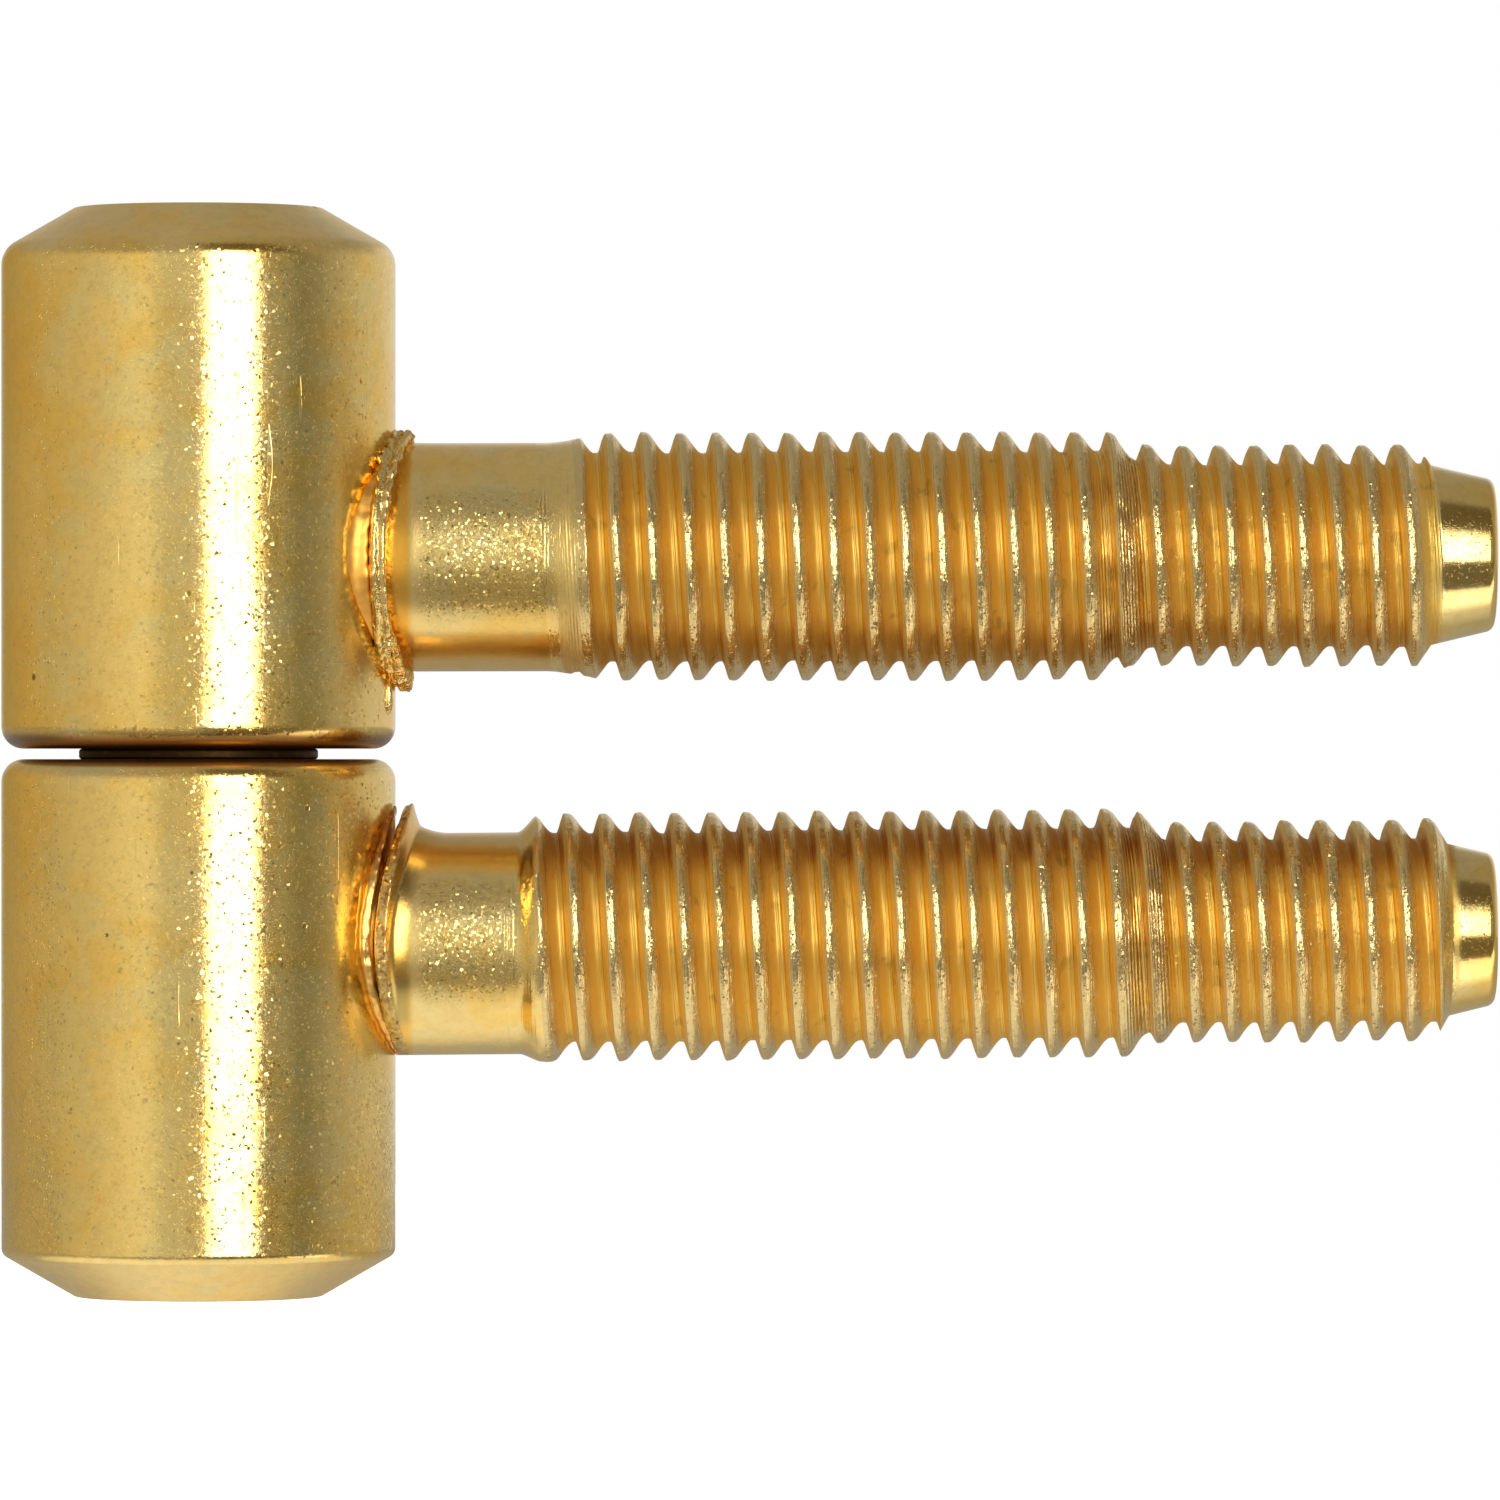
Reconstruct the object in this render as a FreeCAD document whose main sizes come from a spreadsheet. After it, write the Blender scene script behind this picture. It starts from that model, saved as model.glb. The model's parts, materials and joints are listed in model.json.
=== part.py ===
"""Two-part drill in hinge: a round barrel on each half, a threaded stud welded to each barrel.

Millimetres. The origin is the centre of the lower barrel's flat bottom end, +Z runs up the
hinge axis and +X runs out along the two studs, which lie one above the other.
"""
import FreeCAD, Part
import math
import os

import Sketcher

# Driving dimensions: alias, value and what it measures

SIZES = [
    ("barrel_dia", 15.0, "outer diameter of both barrels"),
    ("lower_barrel_length", 20.45, "lower barrel, end to end"),
    ("upper_barrel_length", 20.6, "upper barrel, end to end"),
    ("end_face_dia", 9.4, "flat at each outer end"),
    ("end_bevel_angle", 30.0, "bevel of the outer ends, in degrees from the flat"),
    ("upper_bevel_round", 1.0, "round where the upper bevel meets the side"),
    ("lower_bevel_round", 0.5, "round where the lower bevel meets the side"),
    ("end_face_round", 0.3, "round at the rim of the outer flats"),
    ("inner_edge_round", 0.85, "round at the facing ends of the barrels"),
    ("pin_dia", 7.0, "hinge pin"),
    ("pin_press_depth", 16.0, "length of pin pressed into the lower barrel"),
    ("pin_projection", 15.8, "length of pin standing out of the lower barrel"),
    ("pin_point_bevel", 0.7, "bevel at the free end of the pin"),
    ("running_clearance", 0.04, "pin to upper bore, on the radius"),
    ("bore_end_space", 0.8, "room over the end of the pin"),
    ("bore_mouth_bevel", 0.4, "bevel at the mouth of each bore"),
    ("drill_point_angle", 118.0, "point of the drill that made the bores, in degrees"),
    ("ring_thickness", 0.4, "bearing ring, and so the gap between the barrels"),
    ("ring_dia", 9.1, "bearing ring, outside"),
    ("ring_clearance", 0.1, "pin to ring, on the radius"),
    ("ring_edge_round", 0.12, "rounded edges of the ring"),
    ("upper_stud_rise", 7.27, "upper stud, on the hinge axis, above the upper facing end"),
    ("lower_stud_drop", 6.92, "lower stud, on the hinge axis, below the lower facing end"),
    ("upper_stud_tilt", 0.13, "how far the weld left the upper stud pointing up, in degrees"),
    ("lower_stud_tilt", 0.51, "how far the weld left the lower stud pointing up, in degrees"),
    ("stud_reach", 49.35, "hinge axis to the tip of a stud"),
    ("weld_sink", 0.8, "depth that the weld drew a stud's foot into its barrel"),
    ("foot_dia", 9.0, "stud at the weld"),
    ("foot_taper", 2.0, "length over which the foot narrows to the shank"),
    ("upper_shank_dia", 8.7, "plain shank of the upper stud"),
    ("lower_shank_dia", 8.45, "plain shank of the lower stud"),
    ("thread_pitch", 1.366, "both parts of the thread"),
    ("thread_depth", 0.7, "crest to root, on the radius"),
    ("crest_flat", 0.36, "width of a crest"),
    ("steep_flank", 0.33, "width of the flank that holds against pulling out"),
    ("first_thread_dia", 9.44, "crests of the thick part"),
    ("second_thread_dia", 8.42, "crests of the thin part towards the tip"),
    ("thread_rise", 2.2, "length over which the crests rise out of the shank"),
    ("step_taper", 0.8, "cone between the thick and the thin part"),
    ("upper_thread_start", 14.37, "hinge axis to the first root, upper stud"),
    ("upper_thread_clock", 0.0, "where round the upper stud its first root lies, from below"),
    ("upper_step_at", 35.5, "hinge axis to the step, upper stud"),
    ("upper_thread_end", 46.95, "hinge axis to the end of the thread, upper stud"),
    ("lower_thread_start", 13.35, "hinge axis to the first root, lower stud"),
    ("lower_thread_clock", 135.0, "where round the lower stud its first root lies, from below"),
    ("lower_step_at", 36.4, "hinge axis to the step, lower stud"),
    ("lower_thread_end", 47.6, "hinge axis to the end of the thread, lower stud"),
    ("tip_root_dia", 6.86, "plain tip where the thread ends"),
    ("tip_end_dia", 5.72, "flat end of the tip"),
    ("tip_round", 0.3, "round at the end of the tip"),
    ("end_taper", 0.35, "cone between the last crest and the plain tip"),
    ("upper_flash_width", 0.76, "weld flash of the upper stud, along the stud"),
    ("upper_flash_dia", 10.0, "weld flash of the upper stud, outside"),
    ("upper_flash_height", 0.76, "radial depth of the upper flash"),
    ("upper_flash_lift", -0.14, "how far the upper flash sits above the stud's axis"),
    ("lower_flash_width", 0.36, "thin fin of flash on the lower stud, along the stud"),
    ("lower_flash_dia", 9.6, "fin of the lower stud, outside"),
    ("lower_flash_height", 1.0, "radial depth of the fin"),
    ("lower_flash_lift", 0.2, "how far the fin sits above the stud's axis"),
    ("flash_side_at", 7.1, "hinge axis to the flash beside the barrel's crown"),
    ("flash_crown_at", 7.78, "hinge axis to the flash on the barrel's crown, above and below"),
]

V = FreeCAD.Vector
X_AXIS = V(1, 0, 0)
Y_AXIS = V(0, 1, 0)
Z_AXIS = V(0, 0, 1)
GROOVE_OVERSHOOT = 0.05
FLASH_SECTIONS = 16

doc = FreeCAD.newDocument("drill_in_hinge")


def make_sheet():
    """The spreadsheet of driving dimensions: name, value and note in a row each."""
    sheet = doc.addObject("Spreadsheet::Sheet", "Sizes")
    for row, (alias, size, note) in enumerate(SIZES, 1):
        sheet.set("A%d" % row, alias)
        sheet.set("B%d" % row, str(size))
        sheet.set("C%d" % row, note)
        sheet.setAlias("B%d" % row, alias)
    doc.recompute()
    return sheet


sheet = make_sheet()


def value(expression):
    """What an expression over the sheet's aliases comes to."""
    result = sheet.evalExpression(expression)
    return float(getattr(result, "Value", result))


def bound(alias):
    """An alias as other objects' expressions name it."""
    return "Sizes." + alias


def new_body(name):
    return doc.addObject("PartDesign::Body", name)


def origin_plane(body, role):
    return next(f for f in body.Origin.OriginFeatures if f.Role == role)


def new_sketch(body, name, role):
    sketch = body.newObject("Sketcher::SketchObject", name)
    sketch.AttachmentSupport = [(origin_plane(body, role), "")]
    sketch.MapMode = "FlatFace"
    return sketch


def outline(sketch, corners):
    """A closed outline of straight lines. Each corner is a pair of expressions, across and up."""
    points = [(value(across), value(up)) for across, up in corners]
    count = len(points)
    for i in range(count):
        start, end = points[i], points[(i + 1) % count]
        sketch.addGeometry(Part.LineSegment(V(*start, 0), V(*end, 0)))
    for i in range(count):
        sketch.addConstraint(Sketcher.Constraint("Coincident", i, 2, (i + 1) % count, 1))
    for i, (expressions, point) in enumerate(zip(corners, points)):
        for kind, axis, expression, size in zip(
            ("DistanceX", "DistanceY"), (-2, -1), expressions, point
        ):
            if expression == "0":
                sketch.addConstraint(Sketcher.Constraint("PointOnObject", i, 1, axis))
                continue
            added = sketch.addConstraint(Sketcher.Constraint(kind, -1, 1, i, 1, size))
            sketch.setExpression("Constraints[%d]" % added, expression)


def circle(sketch, radius):
    """A circle about the sketch's origin, its radius an expression."""
    drawn = sketch.addGeometry(Part.Circle(V(0, 0, 0), Z_AXIS, value(radius)))
    sketch.addConstraint(Sketcher.Constraint("Coincident", drawn, 3, -1, 1))
    added = sketch.addConstraint(Sketcher.Constraint("Radius", drawn, value(radius)))
    sketch.setExpression("Constraints[%d]" % added, radius)


def turned(body, name, kind, corners):
    """A revolution or a groove about the body's Z axis, from an outline in its XZ plane."""
    sketch = new_sketch(body, name + "Outline", "XZ_Plane")
    outline(sketch, corners)
    feature = body.newObject("PartDesign::" + kind, name)
    feature.Profile = sketch
    feature.ReferenceAxis = (sketch, ["V_Axis"])
    feature.Angle = 360
    doc.recompute()
    return feature


def rim(shape, radius, height):
    """Names of the circular edges of one radius at one height on the body's axis."""
    found = []
    for number, edge in enumerate(shape.Edges, 1):
        curve = edge.Curve
        if not isinstance(curve, Part.Circle):
            continue
        if abs(curve.Radius - radius) < 0.005 and abs(curve.Center.z - height) < 0.005:
            found.append("Edge%d" % number)
    return found


def dressed(body, name, kind, prop, size, rims):
    """A fillet or chamfer of one size on the rims given as pairs of expressions."""
    base = body.Tip
    edges = []
    for radius, height in rims:
        edges += rim(base.Shape, value(radius), value(height))
    feature = body.newObject("PartDesign::" + kind, name)
    feature.Base = (base, edges)
    feature.setExpression(prop, size)
    doc.recompute()
    return feature


# Expressions that several pieces share

BARREL_RADIUS = bound("barrel_dia") + " / 2"
END_RADIUS = bound("end_face_dia") + " / 2"
PIN_RADIUS = bound("pin_dia") + " / 2"
BEVEL_HEIGHT = "(%s - %s) * tan(%s * 1deg)" % (
    BARREL_RADIUS,
    END_RADIUS,
    bound("end_bevel_angle"),
)
UPPER_BASE = bound("lower_barrel_length") + " + " + bound("ring_thickness")


def barrel(name, length, bevel_round, bore_radius, bore_depth):
    """A turned barrel, standing on its facing end, bored from there, bevelled at the other end."""
    body = new_body(name)
    bevel_start = "%s - %s" % (length, BEVEL_HEIGHT)
    turned(body, "Turned", "Revolution", [
        ("0", "0"),
        (BARREL_RADIUS, "0"),
        (BARREL_RADIUS, bevel_start),
        (END_RADIUS, length),
        ("0", length),
    ])
    dressed(body, "BevelRound", "Fillet", "Radius", bevel_round, [(BARREL_RADIUS, bevel_start)])
    dressed(body, "EndRound", "Fillet", "Radius", bound("end_face_round"), [(END_RADIUS, length)])
    dressed(body, "FacingRound", "Fillet", "Radius", bound("inner_edge_round"),
            [(BARREL_RADIUS, "0")])
    point = "%s + (%s) / tan(%s / 2 * 1deg)" % (bore_depth, bore_radius, bound("drill_point_angle"))
    mouth = bound("bore_mouth_bevel")
    turned(body, "Bored", "Groove", [
        ("0", "0"),
        ("%s + %s" % (bore_radius, mouth), "0"),
        (bore_radius, mouth),
        (bore_radius, bore_depth),
        ("0", point),
    ])
    return body


def lower_knuckle():
    """The frame's barrel, bevelled end down, with the pin's blind bore from above."""
    body = barrel("LowerKnuckle", bound("lower_barrel_length"), bound("lower_bevel_round"),
                  PIN_RADIUS, bound("pin_press_depth"))
    body.Placement = FreeCAD.Placement(V(0, 0, 0), FreeCAD.Rotation(X_AXIS, 180))
    body.setExpression("Placement.Base.z", bound("lower_barrel_length"))
    return body


def upper_knuckle():
    """The door's barrel, bevelled end up, running on the pin with room over its end."""
    depth = "%s - %s + %s" % tuple(
        map(bound, ("pin_projection", "ring_thickness", "bore_end_space")))
    body = barrel("UpperKnuckle", bound("upper_barrel_length"), bound("upper_bevel_round"),
                  "(%s + %s)" % (PIN_RADIUS, bound("running_clearance")), depth)
    body.setExpression("Placement.Base.z", UPPER_BASE)
    return body


def hinge_pin():
    """The pin, pressed to the bottom of the lower bore, with a bevelled free end."""
    body = new_body("HingePin")
    sketch = new_sketch(body, "Section", "XY_Plane")
    circle(sketch, PIN_RADIUS)
    length = bound("pin_press_depth") + " + " + bound("pin_projection")
    rod = body.newObject("PartDesign::Pad", "Rod")
    rod.Profile = sketch
    rod.setExpression("Length", length)
    doc.recompute()
    dressed(body, "Point", "Chamfer", "Size", bound("pin_point_bevel"), [(PIN_RADIUS, length)])
    body.setExpression("Placement.Base.z",
                       bound("lower_barrel_length") + " - " + bound("pin_press_depth"))
    return body


def bearing_ring():
    """The thin ring round the pin, between the barrels' facing ends."""
    body = new_body("BearingRing")
    sketch = new_sketch(body, "Section", "XY_Plane")
    outside = bound("ring_dia") + " / 2"
    circle(sketch, outside)
    circle(sketch, PIN_RADIUS + " + " + bound("ring_clearance"))
    blank = body.newObject("PartDesign::Pad", "Blank")
    blank.Profile = sketch
    blank.setExpression("Length", bound("ring_thickness"))
    doc.recompute()
    dressed(body, "Rounded", "Fillet", "Radius", bound("ring_edge_round"),
            [(outside, "0"), (outside, bound("ring_thickness"))])
    body.setExpression("Placement.Base.z", bound("lower_barrel_length"))
    return body


def thread_groove(body, name, crest_dia, start, finish, clock):
    """One groove round the stud's axis: gentle flank towards the barrel, steep towards the tip."""
    crest = crest_dia + " / 2"
    depth = bound("thread_depth")
    steep = bound("steep_flank")
    gentle = "(%s - %s - %s)" % (bound("thread_pitch"), bound("crest_flat"), steep)
    past_crest = "(1 + %s / %s)" % (GROOVE_OVERSHOOT, depth)
    outer = "%s + %s" % (crest, GROOVE_OVERSHOOT)
    sketch = new_sketch(body, name + "Section", "XZ_Plane")
    sketch.AttachmentOffset = FreeCAD.Placement(V(0, 0, 0), FreeCAD.Rotation(Y_AXIS, value(clock)))
    sketch.setExpression("AttachmentOffset.Rotation.Angle", clock)
    outline(sketch, [
        ("%s - %s" % (crest, depth), start),
        (outer, "%s - %s * %s" % (start, gentle, past_crest)),
        (outer, "%s + %s * %s" % (start, steep, past_crest)),
    ])
    groove = body.newObject("PartDesign::SubtractiveHelix", name)
    groove.Profile = sketch
    groove.ReferenceAxis = (sketch, ["V_Axis"])
    groove.Mode = "pitch-height-angle"
    groove.LeftHanded = False
    groove.setExpression("Pitch", bound("thread_pitch"))
    groove.setExpression("Height", "%s - (%s)" % (finish, start))
    doc.recompute()
    return groove


def weld_flash(name, outer_dia, width, height, lift):
    """A closed bead of upset metal round a stud's foot, that rises over the barrel's crown."""
    middle = value("(%s - %s) / 2" % (outer_dia, height))
    side, crown = value(bound("flash_side_at")), value(bound("flash_crown_at"))
    flat = value(width) > value(height)
    sizes = sorted((value(width) / 2, value(height) / 2), reverse=True)
    upright = FreeCAD.Rotation(X_AXIS, 90)
    if flat:
        upright = upright.multiply(FreeCAD.Rotation(Z_AXIS, 90))
    sections = []
    for i in range(FLASH_SECTIONS):
        turn = 2 * math.pi * i / FLASH_SECTIONS
        along = side + (crown - side) * math.cos(turn) ** 2
        centre = V(middle * math.cos(turn) - value(lift), middle * math.sin(turn), along)
        section = Part.Wire(Part.Ellipse(V(0, 0, 0), *sizes).toShape())
        round_the_stud = FreeCAD.Rotation(Z_AXIS, math.degrees(turn))
        section.Placement = FreeCAD.Placement(centre, round_the_stud.multiply(upright))
        sections.append(section)
    bead = doc.addObject("Part::Feature", name)
    bead.Shape = Part.makeLoft(sections, True, False, True)
    return bead


def stud(name, side, height):
    """A stud on its own Z axis, measured from the hinge axis, then turned to point along +X."""
    shank = bound(side + "_shank_dia") + " / 2"
    foot = BARREL_RADIUS + " - " + bound("weld_sink")
    first = bound("first_thread_dia") + " / 2"
    second = bound("second_thread_dia") + " / 2"
    start = bound(side + "_thread_start")
    clock = bound(side + "_thread_clock")
    step = bound(side + "_step_at")
    finish = bound(side + "_thread_end")
    pitch = bound("thread_pitch")
    rise_start = "%s - %s / 2" % (start, pitch)
    body = new_body(name)
    turned(body, "Turned", "Revolution", [
        ("0", foot),
        (bound("foot_dia") + " / 2", foot),
        (shank, "%s + %s" % (foot, bound("foot_taper"))),
        (shank, rise_start),
        (first, "%s + %s" % (rise_start, bound("thread_rise"))),
        (first, "%s - %s" % (step, bound("step_taper"))),
        (second, step),
        (second, finish),
        (bound("tip_root_dia") + " / 2", "%s + %s" % (finish, bound("end_taper"))),
        (bound("tip_end_dia") + " / 2", bound("stud_reach")),
        ("0", bound("stud_reach")),
    ])
    dressed(body, "TipRound", "Fillet", "Radius", bound("tip_round"),
            [(bound("tip_end_dia") + " / 2", bound("stud_reach"))])
    second_start = "%s + floor((%s - (%s)) / %s) * %s" % (start, step, start, pitch, pitch)
    thread_groove(body, "FirstThread", bound("first_thread_dia"), start,
                  "%s + %s" % (second_start, pitch), clock)
    thread_groove(body, "SecondThread", bound("second_thread_dia"), second_start,
                  "%s + %s" % (finish, pitch), clock)
    flash = weld_flash(name + "Flash", bound(side + "_flash_dia"), bound(side + "_flash_width"),
                       bound(side + "_flash_height"), bound(side + "_flash_lift"))
    welded = doc.addObject("Part::Fuse", name + "Welded")
    welded.Base = body
    welded.Tool = flash
    welded.Placement = FreeCAD.Placement(V(0, 0, 0), FreeCAD.Rotation(Y_AXIS, 90))
    welded.setExpression("Placement.Base.z", height)
    welded.setExpression("Placement.Rotation.Angle", "90 - " + bound(side + "_stud_tilt"))
    crown = doc.addObject("Part::Cylinder", name + "Crown")
    crown.setExpression("Radius", BARREL_RADIUS)
    crown.setExpression("Height", UPPER_BASE + " + " + bound("upper_barrel_length"))
    seated = doc.addObject("Part::Cut", name + "Seated")
    seated.Base = welded
    seated.Tool = crown
    doc.recompute()
    return seated


def lower_stud():
    """The frame's stud, its axis below the lower barrel's facing end."""
    return stud("LowerStud", "lower",
                bound("lower_barrel_length") + " - " + bound("lower_stud_drop"))


def upper_stud():
    """The door's stud, its axis above the upper barrel's facing end."""
    return stud("UpperStud", "upper", UPPER_BASE + " + " + bound("upper_stud_rise"))


def check_and_write(parts):
    """Refuse a failed object or shape, then write one STEP file for each sub-part."""
    doc.recompute()
    for item in doc.Objects:
        if "Invalid" in item.State or "Error" in item.State:
            raise RuntimeError("%s failed: %s" % (item.Name, item.State))
    for label, part in parts.items():
        part.Label = label
        if part.Shape.isNull() or not part.Shape.isValid() or len(part.Shape.Solids) != 1:
            raise RuntimeError("%s has no single valid solid" % label)
    os.makedirs("parts", exist_ok=True)
    for label, part in parts.items():
        part.Shape.exportStep("parts/%s.step" % label)
        print("%-14s %9.2f mm3" % (label, part.Shape.Volume))


SUB_PARTS = {
    "lower_knuckle": lower_knuckle(),
    "upper_knuckle": upper_knuckle(),
    "hinge_pin": hinge_pin(),
    "bearing_ring": bearing_ring(),
    "lower_stud": lower_stud(),
    "upper_stud": upper_stud(),
}
check_and_write(SUB_PARTS)
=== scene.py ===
"""A two-part drill in hinge, dressed in worn brass plating over its frame.

Metres. The hinge axis is the Z axis, the two threaded studs point along +X and the camera looks
along +Y. Sizes that a user would change are settings in the sidebar, and each group of pieces has
its own operator.
"""

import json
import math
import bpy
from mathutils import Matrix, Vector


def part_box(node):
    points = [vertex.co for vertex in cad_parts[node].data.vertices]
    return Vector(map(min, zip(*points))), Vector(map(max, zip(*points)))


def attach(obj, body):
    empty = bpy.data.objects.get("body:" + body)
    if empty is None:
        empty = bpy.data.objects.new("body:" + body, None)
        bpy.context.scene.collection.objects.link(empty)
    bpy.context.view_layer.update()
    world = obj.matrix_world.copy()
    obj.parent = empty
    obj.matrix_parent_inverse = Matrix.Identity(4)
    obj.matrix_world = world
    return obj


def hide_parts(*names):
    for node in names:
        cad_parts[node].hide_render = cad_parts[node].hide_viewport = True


bl_info = {
    "name": "Drill In Hinge",
    "version": (1, 0, 0),
    "blender": (4, 5, 0),
    "location": "View3D > Sidebar > Hinge",
    "description": "Builds a drill in hinge with rolled threads, weld flash and brass plating",
    "category": "Object",
}

import bmesh
import bpy
from bpy.props import FloatProperty, FloatVectorProperty, IntProperty, PointerProperty
from mathutils import Matrix, Vector

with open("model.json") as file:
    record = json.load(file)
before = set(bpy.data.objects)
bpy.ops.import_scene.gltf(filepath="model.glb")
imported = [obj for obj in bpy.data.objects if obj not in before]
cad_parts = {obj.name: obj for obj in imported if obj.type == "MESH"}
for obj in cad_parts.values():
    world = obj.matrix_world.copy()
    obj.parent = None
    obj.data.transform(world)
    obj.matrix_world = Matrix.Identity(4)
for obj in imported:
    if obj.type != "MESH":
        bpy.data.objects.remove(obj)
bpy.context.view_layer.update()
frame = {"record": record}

MM = 0.001
TURN = 2 * math.pi
MOUNTS = {mount["name"]: mount for mount in frame["record"]["mounts"]}


# Node trees written as expressions

NODES_IN_ROW = 14
NODE_WIDTH = 180
NODE_HEIGHT = 240
# Sockets of a Mix node for colours, which share their names with those for numbers
MIX_FACTOR = 0
MIX_ONE = 6
MIX_OTHER = 7
MIX_RESULT = 2


class Signal:
    """An output socket. Arithmetic on it adds Math nodes to the board it belongs to."""

    def __init__(self, board, socket):
        self.board = board
        self.socket = socket

    def math(self, operation, *values):
        inputs = dict(enumerate(values))
        return self.board.get("ShaderNodeMath", "Value", {"operation": operation}, inputs)

    def __add__(self, other):
        return self.math("ADD", self, other)

    def __sub__(self, other):
        return self.math("SUBTRACT", self, other)

    def __rsub__(self, other):
        return self.math("SUBTRACT", other, self)

    def __mul__(self, other):
        return self.math("MULTIPLY", self, other)

    def __truediv__(self, other):
        return self.math("DIVIDE", self, other)

    def __rtruediv__(self, other):
        return self.math("DIVIDE", other, self)

    def __pow__(self, other):
        return self.math("POWER", self, other)

    def __gt__(self, other):
        return self.math("GREATER_THAN", self, other)

    __radd__ = __add__
    __rmul__ = __mul__

    def sine(self):
        return self.math("SINE", self)

    def cosine(self):
        return self.math("COSINE", self)

    def root(self):
        return self.math("SQRT", self)

    def floor(self):
        return self.math("FLOOR", self)

    def fraction(self):
        return self.math("FRACT", self)

    def least(self, other):
        return self.math("MINIMUM", self, other)

    def most(self, other):
        return self.math("MAXIMUM", self, other)

    def turns_of(self, other):
        """The angle whose sine is this and whose cosine is the other, in turns."""
        return self.math("ARCTAN2", self, other) / TURN

    def ramp(self, low, high, start=0.0, end=1.0, kind="LINEAR"):
        """From start at low to end at high, and level beyond both."""
        settings = {"interpolation_type": kind, "clamp": True}
        inputs = {"Value": self, "From Min": low, "From Max": high, "To Min": start, "To Max": end}
        return self.board.get("ShaderNodeMapRange", "Result", settings, inputs)

    def smooth(self, low, high):
        """From 0 at low to 1 at high, with soft ends."""
        return self.ramp(low, high, kind="SMOOTHSTEP")

    def fade(self, low, high):
        """From 1 at low to 0 at high, with soft ends."""
        return 1 - self.smooth(low, high)

    def window(self, start, full, end, gone):
        """From 0 at start to 1 at full, and from 1 at end back to 0 where it is gone."""
        return self.smooth(start, full) * self.fade(end, gone)


class Board:
    """A node tree that is filled by expressions: a material, the world or a geometry rule."""

    def __init__(self, tree):
        self.tree = tree

    def add(self, kind, settings=None, inputs=None):
        """A node of one kind: its settings first, then the values or links of its sockets."""
        node = self.tree.nodes.new(kind)
        row, place = divmod(len(self.tree.nodes), NODES_IN_ROW)
        node.location = (NODE_WIDTH * place, -NODE_HEIGHT * row)
        for name, setting in (settings or {}).items():
            if name == "stops":
                self.set_stops(node.color_ramp, setting)
            else:
                setattr(node, name, setting)
        for key, value in (inputs or {}).items():
            self.feed(node.inputs[key], value)
        return node

    def get(self, kind, output, settings=None, inputs=None):
        """One output of a new node."""
        return Signal(self, self.add(kind, settings, inputs).outputs[output])

    def feed(self, socket, value):
        """Give a socket its link or its fixed value."""
        if isinstance(value, Signal):
            self.tree.links.new(value.socket, socket)
        else:
            socket.default_value = value

    @staticmethod
    def set_stops(ramp, stops):
        """The colour stops of a ramp, each a place and a linear colour."""
        while len(ramp.elements) < len(stops):
            ramp.elements.new(0.5)
        for element, (place, colour) in zip(ramp.elements, stops):
            element.position = place
            element.color = (*colour, 1.0)

    def noise(self, place, size, detail, roughness=0.5):
        """Smooth noise about 0.5, whose largest grains have one size."""
        inputs = {"Vector": place, "Scale": 1 / size, "Detail": detail, "Roughness": roughness}
        return self.get("ShaderNodeTexNoise", 0, {"noise_dimensions": "3D"}, inputs)

    def mix(self, factor, one, other):
        """One colour where the factor is 0, the other where it is 1."""
        inputs = {MIX_FACTOR: factor, MIX_ONE: one, MIX_OTHER: other}
        return self.get("ShaderNodeMix", MIX_RESULT, {"data_type": "RGBA"}, inputs)

    def vector(self, x, y, z):
        return self.get("ShaderNodeCombineXYZ", 0, None, {"X": x, "Y": y, "Z": z})

    def parts(self, vector):
        """The three components of a vector or colour."""
        node = self.add("ShaderNodeSeparateXYZ", None, {0: vector})
        return [Signal(self, output) for output in node.outputs]


# Settings


def length(name, description, millimetres):
    return FloatProperty(name=name, description=description, default=millimetres * MM,
                         unit="LENGTH", precision=5)


def angle(name, description, degrees):
    return FloatProperty(name=name, description=description, default=math.radians(degrees),
                         subtype="ANGLE")


def colour(name, description, red, green, blue):
    return FloatVectorProperty(name=name, description=description, default=(red, green, blue),
                               size=3, min=0.0, max=1.0, subtype="COLOR")


def share(name, description, amount):
    return FloatProperty(name=name, description=description, default=amount, min=0.0, max=1.0,
                         subtype="FACTOR")


class HingeBarrels(bpy.types.PropertyGroup):
    """The two turned barrels, the pin and the bearing ring."""

    end_flat: length("End flat", "Diameter of the flat at each outer end", 9.4)
    upper_bevel_round: length("Upper bevel round", "Round under the upper bevel", 1.0)
    lower_bevel_round: length("Lower bevel round", "Round over the lower bevel", 0.4)
    end_round: length("End round", "Round at the rim of the outer flats", 0.3)
    facing_round: length("Facing round", "Round at the ends that face each other", 0.85)
    bevel_angle: angle("Bevel angle", "Slope of the outer bevels from the flat", 30.0)
    bore_mouth: length("Bore mouth", "Bevel at the mouth of each bore", 0.4)
    running_clearance: length("Running clearance", "Pin to upper bore, on the radius", 0.04)
    bore_space: length("Bore space", "Room over the end of the pin", 0.8)
    pin_bevel: length("Pin bevel", "Bevel at the free end of the pin", 0.7)
    ring_round: length("Ring round", "Rounded edges of the bearing ring", 0.12)
    around: IntProperty(name="Segments", description="Segments round a barrel", default=256, min=32)


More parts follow.
